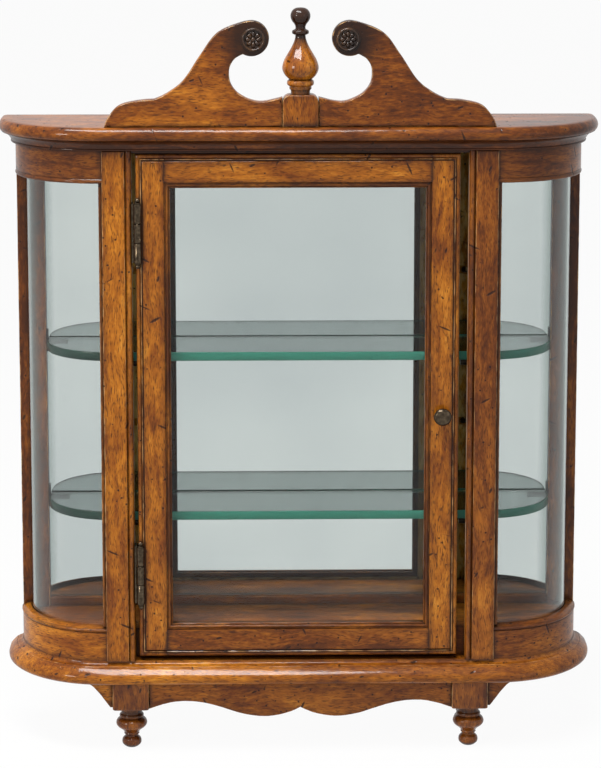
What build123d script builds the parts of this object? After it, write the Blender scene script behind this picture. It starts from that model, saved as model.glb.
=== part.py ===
from build123d import *
import os
from math import asin, cos, radians, sin

# A bow-ended display case for thimbles: a wooden case with one glazed door, bent-glass ends,
# a mirror back, two glass shelves, a swan-neck top and turned feet. X runs across the front,
# Y from the front (negative) to the back, Z up. The origin is on the table, under the middle.

# Plan of the case (mm)
CASE_DEPTH = 96.0          # back of the case to the face of the curved rails
TOP_OVERHANG = 15.4        # top board beyond the rails
RAIL_RADIUS = 84.0         # outer radius of the bow ends
ARC_X = 180.0              # centres of the bow ends, left and right of the middle
BACK_Y = (CASE_DEPTH + TOP_OVERHANG) / 2
FACE_Y = BACK_Y - CASE_DEPTH
ARC_Y = FACE_Y + RAIL_RADIUS
CASE_HALF = ARC_X + RAIL_RADIUS

# Heights (mm above the table)
BLOCK_Z = 39.8             # underside of the foot blocks
BASE_Z = 69.0              # underside of the base board
BASE_TOP = 89.0
FLOOR_TOP = 117.0
LOWER_RAIL_TOP = 119.2
UPPER_RAIL_Z = 536.7
CORNICE_Z = 567.0          # underside of the cornice board, which is the ceiling
TOP_Z = 577.0
TOP_TOP = 589.0

# Posts and glass
POST_INNER = 153.2         # half the door opening
POST_PROUD = 3.0           # posts and door stand in front of the rails
POST_DEPTH = 14.0
FRONT_Y = FACE_Y - POST_PROUD
POST_BACK_Y = FRONT_Y + POST_DEPTH
REAR_POST_INNER = 238.5
PANEL_T = 3.0              # back panel, mirror and panes
PANEL_SCREWS = 4           # down each edge of the back panel
PANEL_HEAD_R, PANEL_HEAD_H = 3.0, 1.7
MIRROR_Y = BACK_Y - 2 * PANEL_T
GLASS_OUTER = 75.5         # outer radius of the bent glass
GLASS_INNER = GLASS_OUTER - PANEL_T
GLASS_BED = 3.0            # glass let into the rails
FLOOR_T = 12.0
FLOOR_RADIUS = GLASS_INNER - 0.3
FIT = 0.15                 # easy fit of a loose-laid pane

# Door
DOOR_X0, DOOR_X1 = -149.6, 145.2
DOOR_Z0, DOOR_Z1 = 93.2, 563.9
EDGE_BEAD = 6.0
STILE_FACE = 20.0
SIGHT_BEAD = 5.2
STILE_W = EDGE_BEAD + STILE_FACE
PANE_FRONT = FRONT_Y + 7.0
STOP_T = 3.4
KNOB_X, KNOB_Z = 130.0, 322.0
KNOB_R = 8.1
KNOB_LENGTH = 11.6

# Butt hinges with ball tips
HINGE_X = -147.6
HINGE_Y = FRONT_Y - 1.7
HINGE_ZS = {"lower": 172.0, "upper": 492.0}
HINGE_LENGTH = 54.0
BARREL_R = 3.6
PIN_R = 1.5
BORE_R = 1.55
COLLAR_R, COLLAR_H = 3.0, 1.3
BALL_R, BALL_LIFT = 2.3, 3.2
LEAF_T = 1.2
KNUCKLE_GAP = 0.15
GAIN_R = 4.1
SCREW_R = 1.2
SCREW_HEAD_R = 2.4
SCREW_LENGTH = 12.0

# Shelves
SHELF_TOPS = {"lower": 228.2, "upper": 378.7}
SHELF_T = 8.0
SHELF_HALF = 236.5
SHELF_END_R = 64.0
SHELF_FRONT = POST_BACK_Y + 1.6
SHELF_BACK = MIRROR_Y - 2.0
SHELF_REST = 0.3           # soft washer between pin and glass
SHELF_STEP = 60.0          # the next pin hole above each shelf
PIN_HOLE_R = 3.2
PIN_HOLE_X = 163.0
PIN_BAR_R = 2.5
PIN_BAR_END = 147.5        # the bars reach this far in behind the door opening

# Magnetic catch under the ceiling and its strike on the door
CATCH_X = 95.0
CATCH_W, CATCH_D, CATCH_H = 34.0, 13.0, 9.0
CATCH_Y = POST_BACK_Y + 1.3
STRIKE_T = 1.0

# Feet, apron and top ornament
FOOT_X = 158.4
FOOT_W = 34.0
FOOT_YS = {"front": FACE_Y + FOOT_W / 2 + 0.5, "rear": BACK_Y - FOOT_W / 2 - 3.0}
APRON_T = 12.0
PEDIMENT_Y = FRONT_Y - 4.7
PEDIMENT_T = 13.0
BLOCK_W, BLOCK_D, BLOCK_H = 32.4, 22.0, 29.0
SCROLL_X, SCROLL_H, SCROLL_R = 44.2, 79.7, 16.0
ROSETTE_X, ROSETTE_H, ROSETTE_R = 42.4, 78.9, 11.3
PETAL_RING, PETAL_R = 5.1, 1.9

os.makedirs("parts", exist_ok=True)


def outline(*curves):
    """Face inside a closed run of curves."""
    return make_face([edge for curve in curves for edge in curve.edges()])


def slab(x, y, z):
    """Box between two limits along each axis."""
    middle = Pos(sum(x) / 2, sum(y) / 2, sum(z) / 2)
    return middle * Box(x[1] - x[0], y[1] - y[0], z[1] - z[0])


def rod(start, direction, radius, length):
    """Round bar from a point along a direction."""
    return extrude(Plane(origin=start, z_dir=direction) * Circle(radius), amount=length)


def turned(profile, centre_x, centre_y, base_z):
    """Turning about an upright axis from a face of radius and height."""
    upright = Plane(origin=(0, 0, 0), x_dir=(1, 0, 0), z_dir=(0, -1, 0)) * profile
    return Pos(centre_x, centre_y, base_z) * revolve(upright, Axis.Z)


def dome(edge_r, edge_z, top_z):
    """Arc of a ball centred on the turning axis, from an edge up to the axis."""
    rise = top_z - edge_z
    ball = (edge_r ** 2 + rise ** 2) / (2 * rise)
    half = asin(edge_r / ball) / 2
    middle = (ball * sin(half), top_z - ball * (1 - cos(half)))
    return ThreePointArc((edge_r, edge_z), middle, (0, top_z))


def bow_section(profile):
    """Profile of radius and height, stood on the side of the right bow's centre."""
    return Plane(origin=(ARC_X, ARC_Y, 0), x_dir=(1, 0, 0), z_dir=(0, -1, 0)) * profile


def bow(profile):
    """Quarter ring of a profile round the right bow, from the rear post to the front post."""
    centre = Axis((ARC_X, ARC_Y, 0), (0, 0, -1))
    return revolve(bow_section(profile), centre, revolution_arc=90)


def mirrored(shape):
    """The same piece on the other side of the case."""
    return mirror(shape, about=Plane.YZ)


def d_board(profile, z0, z1):
    """Board with a flat back and bow ends, its edge moulded to the profile."""
    end = bow(profile)
    end += extrude(bow_section(profile), amount=BACK_Y - ARC_Y, dir=(0, 1, 0))
    front_plane = Plane(origin=(ARC_X, ARC_Y, 0), x_dir=(0, -1, 0), z_dir=(-1, 0, 0))
    front = extrude(front_plane * profile, amount=2 * ARC_X)
    middle = slab((-ARC_X, ARC_X), (ARC_Y, BACK_Y), (z0, z1))
    return end + mirrored(end) + front + middle


# ---------------------------------------------------------------- carcase

def base_board():
    """Base with a small cove under the case, a crest and a large round nose."""
    r, z = RAIL_RADIUS, BASE_TOP
    edge = [
        Polyline((r + 0.4, z), (0, z), (0, BASE_Z), (r + 10.4, BASE_Z)),
        ThreePointArc((r + 10.4, BASE_Z), (r + 14.2, z - 14.6), (r + 6.2, z - 5.0)),
        Line((r + 6.2, z - 5.0), (r + 5.2, z - 4.2)),
        ThreePointArc((r + 5.2, z - 4.2), (r + 2.0, z - 3.2), (r + 0.4, z)),
    ]
    return d_board(outline(*edge), BASE_Z, BASE_TOP)


def cornice_board():
    """Board under the top, its edge a cove over a small bead."""
    r, z = RAIL_RADIUS, CORNICE_Z
    edge = [
        Polyline((r + 13.0, TOP_Z), (0, TOP_Z), (0, z), (r + 3.6, z)),
        ThreePointArc((r + 3.6, z), (r + 4.5, z + 0.9), (r + 3.7, z + 1.8)),
        ThreePointArc((r + 3.7, z + 1.8), (r + 6.6, z + 6.6), (r + 13.0, TOP_Z)),
    ]
    return d_board(outline(*edge), CORNICE_Z, TOP_Z)


def top_board():
    """Top with a bull nose."""
    r = RAIL_RADIUS + TOP_OVERHANG
    edge = [
        Polyline((r - 6.0, TOP_TOP), (0, TOP_TOP), (0, TOP_Z), (r - 2.2, TOP_Z)),
        ThreePointArc((r - 2.2, TOP_Z), (r - 0.1, TOP_Z + 3.8), (r - 1.5, TOP_Z + 8.5)),
        ThreePointArc((r - 1.5, TOP_Z + 8.5), (r - 3.3, TOP_Z + 11.0), (r - 6.0, TOP_TOP)),
    ]
    return d_board(outline(*edge), TOP_Z, TOP_TOP)


def floor_board():
    """Floor of the case, notched round the rear posts."""
    z0 = FLOOR_TOP - FLOOR_T
    edge = Pos(FLOOR_RADIUS / 2, (z0 + FLOOR_TOP) / 2) * Rectangle(FLOOR_RADIUS, FLOOR_T)
    board = d_board(edge, z0, FLOOR_TOP)
    board -= slab((-CASE_HALF, CASE_HALF), (BACK_Y - PANEL_T, BACK_Y), (z0, FLOOR_TOP))
    for side in (-1, 1):
        notch = sorted((side * (REAR_POST_INNER - FIT), side * CASE_HALF))
        board -= slab(notch, (ARC_Y - FIT, BACK_Y), (z0, FLOOR_TOP))
    return board


def floor_front_rail():
    """Batten under the front edge of the floor, between the front posts."""
    y = (ARC_Y - FLOOR_RADIUS, ARC_Y - FLOOR_RADIUS + APRON_T)
    return slab((-POST_INNER + FIT, POST_INNER - FIT), y, (BASE_TOP, FLOOR_TOP - FLOOR_T))


def front_post():
    """Right front post: a flat face, a quirk and a bead beside the door."""
    quirk_x = POST_INNER + 6.2
    y = FRONT_Y
    section = [
        Polyline((ARC_X - 1.2, y), (quirk_x, y), (quirk_x - 0.6, y + 1.6), (quirk_x - 1.2, y + 1.0)),
        ThreePointArc((quirk_x - 1.2, y + 1.0), (POST_INNER + 2.5, y + 0.1), (POST_INNER, y + 2.2)),
        Polyline((POST_INNER, y + 2.2), (POST_INNER, POST_BACK_Y), (ARC_X, POST_BACK_Y), (ARC_X, y + 1.2)),
        ThreePointArc((ARC_X, y + 1.2), (ARC_X - 0.35, y + 0.35), (ARC_X - 1.2, y)),
    ]
    post = extrude(Pos(0, 0, BASE_TOP) * outline(*section), amount=CORNICE_Z - BASE_TOP)
    for top in SHELF_TOPS.values():
        for step in (0.0, SHELF_STEP):
            centre = (PIN_HOLE_X, POST_BACK_Y, bar_height(top) + step)
            post -= rod(centre, (0, -1, 0), PIN_HOLE_R, PIN_HOLE_R * 2.5)
    return post


def rear_post():
    """Right rear post, rebated for the back panel."""
    x1 = CASE_HALF
    y = ARC_Y
    section = [
        Polyline((REAR_POST_INNER, y), (REAR_POST_INNER, BACK_Y - PANEL_T)),
        Polyline((REAR_POST_INNER, BACK_Y - PANEL_T), (REAR_POST_INNER + 12.0, BACK_Y - PANEL_T)),
        Polyline((REAR_POST_INNER + 12.0, BACK_Y - PANEL_T), (REAR_POST_INNER + 12.0, BACK_Y)),
        Polyline((REAR_POST_INNER + 12.0, BACK_Y), (x1, BACK_Y), (x1, y), (REAR_POST_INNER, y)),
    ]
    return extrude(Pos(0, 0, BASE_TOP) * outline(*section), amount=CORNICE_Z - BASE_TOP)


def lower_rail():
    """Right curved rail under the glass: outer bead, sloping ledge and a bed for the pane."""
    r, top = RAIL_RADIUS, LOWER_RAIL_TOP
    section = [
        Polyline((GLASS_INNER, BASE_TOP), (r, BASE_TOP), (r, top - 3.4)),
        ThreePointArc((r, top - 3.4), (r + 0.9, top - 1.6), (r - 0.6, top)),
        Polyline((r - 0.6, top), (GLASS_OUTER + FIT, top + 2.2), (GLASS_OUTER + FIT, top - 2.2)),
        Polyline((GLASS_OUTER + FIT, top - 2.2), (GLASS_INNER, top - 2.2), (GLASS_INNER, BASE_TOP)),
    ]
    return bow(outline(*section))


def upper_rail():
    """Right curved frieze rail over the glass, beaded on its lower edge."""
    r, z = RAIL_RADIUS, UPPER_RAIL_Z
    section = [
        Polyline((GLASS_INNER, CORNICE_Z), (r, CORNICE_Z), (r, z + 4.0), (r - 0.6, z + 3.4)),
        ThreePointArc((r - 0.6, z + 3.4), (r + 0.7, z + 1.8), (r - 0.8, z)),
        Polyline((r - 0.8, z), (GLASS_OUTER + FIT, z), (GLASS_OUTER + FIT, z + GLASS_BED)),
        Polyline((GLASS_OUTER + FIT, z + GLASS_BED), (GLASS_INNER, z + GLASS_BED), (GLASS_INNER, CORNICE_Z)),
    ]
    return bow(outline(*section))


def side_glass():
    """Right bent pane, a quarter turn from the rear post to the front post."""
    z0, z1 = LOWER_RAIL_TOP - 2.2, UPPER_RAIL_Z + GLASS_BED
    section = Pos((GLASS_INNER + GLASS_OUTER) / 2, (z0 + z1) / 2) * Rectangle(PANEL_T, z1 - z0)
    return bow(section)


def glass_strip():
    """Right upright strip that covers the front edge of the bent pane."""
    y = (ARC_Y - RAIL_RADIUS + 1.2, ARC_Y - GLASS_OUTER - FIT)
    return slab((ARC_X, ARC_X + 3.2), y, (LOWER_RAIL_TOP + 2.2, UPPER_RAIL_Z))


def back_panel():
    """Thin panel that closes the back, let in flush between base and cornice."""
    half = REAR_POST_INNER + 12.0 - FIT
    panel = slab((-half, half), (BACK_Y - PANEL_T, BACK_Y), (BASE_TOP, CORNICE_Z))
    return panel - back_panel_screws()


def panel_screw(x, z):
    """Countersunk screw through the back panel into a rear post."""
    profile = outline(Polyline(
        (0, 0), (PANEL_HEAD_R, 0), (SCREW_R, PANEL_HEAD_H), (SCREW_R, SCREW_LENGTH), (0, SCREW_LENGTH), (0, 0)))
    screw = revolve(Plane(origin=(0, 0, 0), x_dir=(1, 0, 0), z_dir=(0, 0, 1)) * profile, Axis.Y)
    return Pos(x, BACK_Y, z) * Rot(0, 0, 180) * screw


def back_panel_screws():
    """Four screws down each edge of the back panel."""
    step = (CORNICE_Z - BASE_TOP) / PANEL_SCREWS
    heights = [BASE_TOP + step * (i + 0.5) for i in range(PANEL_SCREWS)]
    xs = (REAR_POST_INNER + 6.0, -REAR_POST_INNER - 6.0)
    return Compound([panel_screw(x, z) for x in xs for z in heights])


def mirror_plate():
    """Mirror in front of the back panel."""
    half = REAR_POST_INNER - FIT
    return slab((-half, half), (MIRROR_Y, BACK_Y - PANEL_T), (FLOOR_TOP, CORNICE_Z))


def mirror_strip(z0, z1, edge_z):
    """Strip along the mirror, its free front corner rounded."""
    half = REAR_POST_INNER - FIT
    strip = slab((-half, half), (MIRROR_Y - 5.0, MIRROR_Y), (z0, z1))
    corner = strip.edges().filter_by(Axis.X).filter_by_position(Axis.Y, MIRROR_Y - 5.1, MIRROR_Y - 4.9)
    return fillet(corner.filter_by_position(Axis.Z, edge_z - 0.1, edge_z + 0.1), 2.5)


# ---------------------------------------------------------------- shelves and their pins

def bar_height(shelf_top):
    """Height of the pin bars under a shelf."""
    return shelf_top - SHELF_T - SHELF_REST - PIN_BAR_R


def shelf(top):
    """Glass shelf with a straight front and back and rounded front corners."""
    x, y0, y1, r = SHELF_HALF, SHELF_FRONT, SHELF_BACK, SHELF_END_R
    slant = r * cos(radians(45))
    edge = [
        Polyline((x, y0 + r), (x, y1), (-x, y1), (-x, y0 + r)),
        ThreePointArc((-x, y0 + r), (-x + r - slant, y0 + r - slant), (-x + r, y0)),
        Line((-x + r, y0), (x - r, y0)),
        ThreePointArc((x - r, y0), (x - r + slant, y0 + r - slant), (x, y0 + r)),
    ]
    plate = extrude(Pos(0, 0, top - SHELF_T) * outline(*edge), amount=SHELF_T)
    return chamfer(plate.faces().sort_by(Axis.Z)[-1].edges(), 0.8)


def front_pin(top):
    """Right-angle pin: a peg in the back of the right post and a bar under the shelf."""
    z = bar_height(top)
    peg_y = POST_BACK_Y - PIN_HOLE_R * 2.5
    bar_y = POST_BACK_Y + PIN_HOLE_R + 1.2
    pin = rod((PIN_HOLE_X, peg_y, z), (0, 1, 0), PIN_BAR_R, bar_y - peg_y)
    pin += rod((PIN_HOLE_X, peg_y, z), (0, 1, 0), PIN_HOLE_R, PIN_HOLE_R * 2.5)
    bar_x = PIN_HOLE_X + PIN_BAR_R
    return pin + rod((bar_x, bar_y, z), (-1, 0, 0), PIN_BAR_R, bar_x - PIN_BAR_END)


def rear_support(top):
    """Plate on the side of the right rear post with a round bar under the shelf."""
    z = bar_height(top)
    bar_y = MIRROR_Y - PIN_BAR_R - 0.4
    plate_x = (REAR_POST_INNER - 1.2, REAR_POST_INNER)
    support = slab(plate_x, (bar_y - PIN_BAR_R, bar_y + PIN_BAR_R), (z - PIN_BAR_R, z + 18.0))
    return support + rod((REAR_POST_INNER, bar_y, z), (-1, 0, 0), PIN_BAR_R, 20.0)


def both_sides(make):
    """One kind of support for both shelves on both sides, as separate solids."""
    right = [make(top) for top in SHELF_TOPS.values()]
    return Compound(right + [mirrored(piece) for piece in right])


# ---------------------------------------------------------------- feet, apron and brackets

def foot(centre_x, centre_y):
    """Square block over a turned bulb, neck and ball, from one blank."""
    profile = outline(
        Polyline((0, BLOCK_Z), (0, 0), (5.0, 0)),
        ThreePointArc((5.0, 0), (9.1, 5.4), (6.2, 10.6)),
        Line((6.2, 10.6), (5.9, 12.0)),
        ThreePointArc((5.9, 12.0), (7.2, 13.0), (7.0, 14.0)),
        Spline((7.0, 14.0), (9.2, 17.2), (13.4, 20.6), (14.5, 24.2), (12.0, 28.0)),
        Line((12.0, 28.0), (10.2, 28.6)),
        ThreePointArc((10.2, 28.6), (11.4, 30.6), (10.4, 32.6)),
        Polyline((10.4, 32.6), (9.6, 34.4), (11.0, BLOCK_Z), (0, BLOCK_Z)),
    )
    half = FOOT_W / 2
    block = slab((centre_x - half, centre_x + half), (centre_y - half, centre_y + half), (BLOCK_Z, BASE_Z))
    block = chamfer(block.edges().filter_by(Axis.Z), 0.8)
    block = chamfer(block.faces().sort_by(Axis.Z)[0].edges(), 1.2)
    return block + turned(profile, centre_x, centre_y, 0)


def apron():
    """Scalloped board between the front foot blocks."""
    half = FOOT_X - FOOT_W / 2
    right = [(half, 40.6), (112.0, 48.0), (75.0, 42.3), (35.0, 33.0), (12.0, 36.4), (0.0, 41.8)]
    left = [(-x, z) for x, z in reversed(right)]
    section = outline(
        Polyline((-half, 40.6), (-half, BASE_Z), (half, BASE_Z), (half, 40.6)),
        Spline(*right, tangents=[(-1, 0.45), (-1, 0.9)]),
        Spline(*left, tangents=[(-1, -0.9), (-1, -0.45)]),
    )
    plane = Plane(origin=(0, FOOT_YS["front"] - FOOT_W / 2 + 2.6, 0), x_dir=(1, 0, 0), z_dir=(0, -1, 0))
    return extrude(plane * section, amount=-APRON_T)


def bracket():
    """Right corner bracket: a small notch and a concave sweep below the base board."""
    x0 = FOOT_X + FOOT_W / 2
    section = outline(
        Polyline((x0, 42.0), (x0, BASE_Z), (x0 + 22.6, BASE_Z), (x0 + 22.6, BASE_Z - 4.2)),
        ThreePointArc((x0 + 22.6, BASE_Z - 4.2), (x0 + 12.4, BASE_Z - 13.4), (x0 + 2.2, 42.0)),
        Line((x0 + 2.2, 42.0), (x0, 42.0)),
    )
    plane = Plane(origin=(0, FOOT_YS["front"] - FOOT_W / 2 + 4.0, 0), x_dir=(1, 0, 0), z_dir=(0, -1, 0))
    return extrude(plane * section, amount=-APRON_T)


# ---------------------------------------------------------------- top ornament

def pediment():
    """Left swan-neck board: a rising cyma, a round scroll and a deep inner curve."""
    turn = [(SCROLL_R * cos(radians(a)) - SCROLL_X, SCROLL_R * sin(radians(a)) + SCROLL_H)
            for a in (105, 0, -118)]
    inner = [turn[2], (-64.2, 53.5), (-62.6, 38.5), (-53.2, 28.6), (-36.8, 22.6), (-BLOCK_W / 2, 26.8)]
    section = outline(
        Line((-BLOCK_W / 2, 0), (-177.0, 0)),
        Spline((-177.0, 0), (-173.0, 9.2), (-162.4, 20.2), (-146.0, 24.0), (-132.0, 25.0)),
        Spline((-132.0, 25.0), (-119.0, 31.4), (-105.0, 42.6), (-90.0, 65.5), (-74.0, 85.5), turn[0],
               tangents=[(1, 0.12), (1, 0.15)]),
        ThreePointArc(turn[0], turn[1], turn[2]),
        Spline(*inner, tangents=[(-1, -0.6), (1, -0.05)]),
        Line((-BLOCK_W / 2, 26.8), (-BLOCK_W / 2, 0)),
    )
    plane = Plane(origin=(0, PEDIMENT_Y, TOP_TOP), x_dir=(1, 0, 0), z_dir=(0, -1, 0))
    return extrude(plane * section, amount=-PEDIMENT_T)


def rosette(side):
    """Boss with a bevelled rim, a domed eye and eight small petals, glued to the scroll."""
    profile = outline(
        Polyline((0, 2.4), (0, 0), (ROSETTE_R, 0), (ROSETTE_R, 1.8), (ROSETTE_R - 0.8, 3.2)),
        Polyline((ROSETTE_R - 0.8, 3.2), (ROSETTE_R - 1.8, 3.2), (ROSETTE_R - 2.8, 1.8), (2.0, 1.8)),
        dome(2.0, 1.8, 3.0),
        Line((0, 3.0), (0, 2.4)),
    )
    disc = revolve(Plane(origin=(0, 0, 0), x_dir=(1, 0, 0), z_dir=(0, 0, 1)) * profile, Axis.Y)
    for index in range(8):
        angle = radians(45 * index)
        foot_point = (PETAL_RING * cos(angle), 1.4, PETAL_RING * sin(angle))
        disc += Plane(origin=foot_point, z_dir=(0, 1, 0)) * Cone(PETAL_R, PETAL_R * 0.5, 2.4)
    disc = Rot(0, 0, 180) * disc
    return Pos(side * ROSETTE_X, PEDIMENT_Y, TOP_TOP + ROSETTE_H) * disc


def finial_block():
    """Block between the scrolls with rounded top corners and a socket for the finial."""
    y0 = PEDIMENT_Y - 2.0
    block = slab((-BLOCK_W / 2, BLOCK_W / 2), (y0, y0 + BLOCK_D), (TOP_TOP, TOP_TOP + BLOCK_H))
    corners = block.edges().filter_by(Axis.Y).filter_by_position(Axis.Z, TOP_TOP + 5.0, TOP_TOP + 99.0)
    block = fillet(corners, 7.0)
    return block - rod((0, y0 + BLOCK_D / 2, TOP_TOP + BLOCK_H - 9.0), (0, 0, 1), 3.0, 9.0)


def finial():
    """Turned finial: tenon, collar, urn, ring and ball."""
    profile = outline(
        Polyline((0, 107.0), (0, 20.5), (3.0, 20.5), (3.0, BLOCK_H), (8.6, BLOCK_H), (8.6, 33.0)),
        Polyline((8.6, 33.0), (9.9, 33.6), (9.9, 36.2), (11.2, 36.6)),
        ThreePointArc((11.2, 36.6), (12.2, 39.2), (11.2, 41.8)),
        Line((11.2, 41.8), (10.4, 42.6)),
        Spline((10.4, 42.6), (14.3, 46.2), (16.4, 52.6), (13.8, 61.0), (8.4, 69.6), (4.6, 80.8)),
        Line((4.6, 80.8), (4.6, 82.2)),
        Polyline((4.6, 82.2), (5.6, 82.8)),
        ThreePointArc((5.6, 82.8), (7.7, 85.0), (5.6, 87.2)),
        Polyline((5.6, 87.2), (4.5, 88.4)),
        Spline((4.5, 88.4), (5.4, 91.4), (8.6, 96.2), (8.9, 101.4), (5.2, 105.6), (0, 107.0),
               tangents=[(0, 1), (-1, 0)]),
    )
    return turned(profile, 0, PEDIMENT_Y - 2.0 + BLOCK_D / 2, TOP_TOP)


# ---------------------------------------------------------------- door

def door_rect(inset):
    """Limits of the door, X and Z, moved in by an inset."""
    return (DOOR_X0 + inset, DOOR_X1 - inset), (DOOR_Z0 + inset, DOOR_Z1 - inset)


def frame_ring(outer, inner, y):
    """Rectangular ring between two insets of the door."""
    (ox, oz), (ix, iz) = door_rect(outer), door_rect(inner)
    return slab(ox, y, oz) - slab(ix, y, iz)


def rounded_front(ring, y, radius):
    """Round the front edges of a ring."""
    return fillet(ring.edges().filter_by_position(Axis.Y, y - 0.01, y + 0.01), radius)


def door_frame():
    """Stiles and rails in one: a rounded edge bead round a flat face."""
    bead_y = FRONT_Y + 0.7
    bead = rounded_front(frame_ring(0, EDGE_BEAD, (bead_y, POST_BACK_Y)), bead_y, EDGE_BEAD * 0.46)
    return bead + frame_ring(EDGE_BEAD, STILE_W, (FRONT_Y, POST_BACK_Y))


def sight_beads():
    """Mitred beads round the pane, in front of the glass: left, right, bottom and top."""
    bead_y = FRONT_Y + 1.4
    ring = frame_ring(STILE_W, STILE_W + SIGHT_BEAD, (bead_y, PANE_FRONT))
    ring = rounded_front(ring, bead_y, SIGHT_BEAD * 0.42)
    (x0, x1), (z0, z1) = door_rect(STILE_W)
    reach = SIGHT_BEAD
    corners = {
        "left": [(x0, z0), (x0 + reach, z0 + reach), (x0 + reach, z1 - reach), (x0, z1)],
        "right": [(x1, z0), (x1 - reach, z0 + reach), (x1 - reach, z1 - reach), (x1, z1)],
        "bottom": [(x0, z0), (x0 + reach, z0 + reach), (x1 - reach, z0 + reach), (x1, z0)],
        "top": [(x0, z1), (x0 + reach, z1 - reach), (x1 - reach, z1 - reach), (x1, z1)],
    }
    front = Plane(origin=(0, bead_y - 1, 0), x_dir=(1, 0, 0), z_dir=(0, -1, 0))
    pieces = {}
    for name, points in corners.items():
        wedge = extrude(front * outline(Polyline(*points, close=True)), amount=-20)
        pieces[name] = ring & wedge
    return pieces


def door_pane():
    """Flat pane of the door."""
    x, z = door_rect(STILE_W + FIT)
    return slab(x, (PANE_FRONT, PANE_FRONT + PANEL_T), z)


def door_stops():
    """Plain strips behind the pane: the pair on the stiles and the pair on the rails."""
    y = (PANE_FRONT + PANEL_T, PANE_FRONT + PANEL_T + STOP_T)
    (x0, x1), (z0, z1) = door_rect(STILE_W)
    w = SIGHT_BEAD - 0.6
    sides = [slab((x0, x0 + w), y, (z0, z1)), slab((x1 - w, x1), y, (z0, z1))]
    ends = [slab((x0 + w, x1 - w), y, (z0, z0 + w)), slab((x0 + w, x1 - w), y, (z1 - w, z1))]
    return Compound(sides), Compound(ends)


def knob():
    """Turned knob with a chamfered rim, drilled for its screw."""
    profile = outline(
        Polyline((1.7, 8.0), (1.7, 0), (4.6, 0), (4.6, 1.2), (3.4, 2.4), (3.2, 5.2), (6.6, 6.0)),
        ThreePointArc((6.6, 6.0), (7.8, 7.0), (KNOB_R, 8.4)),
        Polyline((KNOB_R, 8.4), (KNOB_R - 0.3, 9.4), (6.4, 10.6)),
        dome(6.4, 10.6, KNOB_LENGTH),
        Polyline((0, KNOB_LENGTH), (0, 8.0), (1.7, 8.0)),
    )
    shape = revolve(Plane(origin=(0, 0, 0), x_dir=(1, 0, 0), z_dir=(0, 0, 1)) * profile, Axis.Y)
    return Pos(KNOB_X, FRONT_Y, KNOB_Z) * Rot(0, 0, 180) * shape


def knob_screw():
    """Machine screw from the back of the stile into the knob."""
    shank = rod((KNOB_X, POST_BACK_Y, KNOB_Z), (0, -1, 0), 1.7, POST_DEPTH + 7.0)
    head = rod((KNOB_X, POST_BACK_Y, KNOB_Z), (0, 1, 0), 3.2, 1.2)
    return shank + head


# ---------------------------------------------------------------- hinges and their screws

def knuckle(z0, z1):
    """One length of the barrel, before it is bored."""
    return rod((HINGE_X, HINGE_Y, z0), (0, 0, 1), BARREL_R, z1 - z0)


def web(x_end, z0, z1):
    """Strip from the back of the barrel across to a leaf."""
    y = (HINGE_Y + BARREL_R - LEAF_T, HINGE_Y + BARREL_R)
    return slab((x_end, HINGE_X), y, (z0, z1))


def hinge_cuts(centre_z):
    """Bore through the barrel."""
    return rod((HINGE_X, HINGE_Y, centre_z - HINGE_LENGTH), (0, 0, 1), BORE_R, 2 * HINGE_LENGTH)


def knuckle_limits(centre_z):
    """Heights of the three knuckles from the bottom up."""
    third = HINGE_LENGTH / 3
    low = centre_z - HINGE_LENGTH / 2
    return [(low + i * third, low + (i + 1) * third) for i in range(3)]


def frame_leaf(centre_z):
    """Leaf on the left post with the outer two knuckles."""
    low, _, high = knuckle_limits(centre_z)
    x0 = -POST_INNER
    leaf = slab((x0, x0 + LEAF_T), (HINGE_Y + BARREL_R - LEAF_T, HINGE_Y + 15.0), (low[0], high[1]))
    for z0, z1 in (low, high):
        leaf += knuckle(z0, z1) + web(x0, z0, z1)
    leaf -= hinge_cuts(centre_z)
    for screw in leaf_screws(centre_z, -1):
        leaf -= screw
    return leaf


def door_leaf(centre_z):
    """Leaf on the door stile with the middle knuckle."""
    low, middle, high = knuckle_limits(centre_z)
    x0 = DOOR_X0 - LEAF_T
    z0, z1 = middle[0] + KNUCKLE_GAP, middle[1] - KNUCKLE_GAP
    leaf = slab((x0, DOOR_X0), (HINGE_Y + BARREL_R + 0.7, HINGE_Y + 14.6), (low[0], high[1]))
    leaf += slab((x0, DOOR_X0), (HINGE_Y + BARREL_R - LEAF_T, HINGE_Y + BARREL_R + 1.0), (z0, z1))
    leaf += knuckle(z0, z1) + web(x0, z0, z1)
    leaf -= hinge_cuts(centre_z)
    for screw in leaf_screws(centre_z, 1):
        leaf -= screw
    return leaf


def leaf_screws(centre_z, side):
    """Two countersunk screws of one leaf: side -1 into the post, 1 into the stile."""
    face_x = -POST_INNER + LEAF_T if side < 0 else DOOR_X0 - LEAF_T
    profile = outline(Polyline(
        (0, 0), (SCREW_HEAD_R, 0), (SCREW_R, LEAF_T), (SCREW_R, SCREW_LENGTH), (0, SCREW_LENGTH), (0, 0)))
    screw = revolve(Plane(origin=(0, 0, 0), x_dir=(0, 1, 0), z_dir=(0, 0, 1)) * profile, Axis.X)
    turn = Rot(0, 0, 0) if side < 0 else Rot(0, 0, 180)
    screws = []
    for offset in (-18.0, 18.0):
        screws.append(Pos(face_x, HINGE_Y + 9.6, centre_z + offset) * turn * screw)
    return screws


def hinge_pin(centre_z):
    """Pin with a collar and a ball at each end."""
    half = HINGE_LENGTH / 2
    pin = rod((HINGE_X, HINGE_Y, centre_z - half), (0, 0, 1), PIN_R, HINGE_LENGTH)
    for side in (-1, 1):
        end = centre_z + side * half
        pin += rod((HINGE_X, HINGE_Y, end), (0, 0, side), COLLAR_R, COLLAR_H)
        pin += Pos(HINGE_X, HINGE_Y, end + side * BALL_LIFT) * Sphere(BALL_R)
    return pin


# ---------------------------------------------------------------- catch

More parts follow.
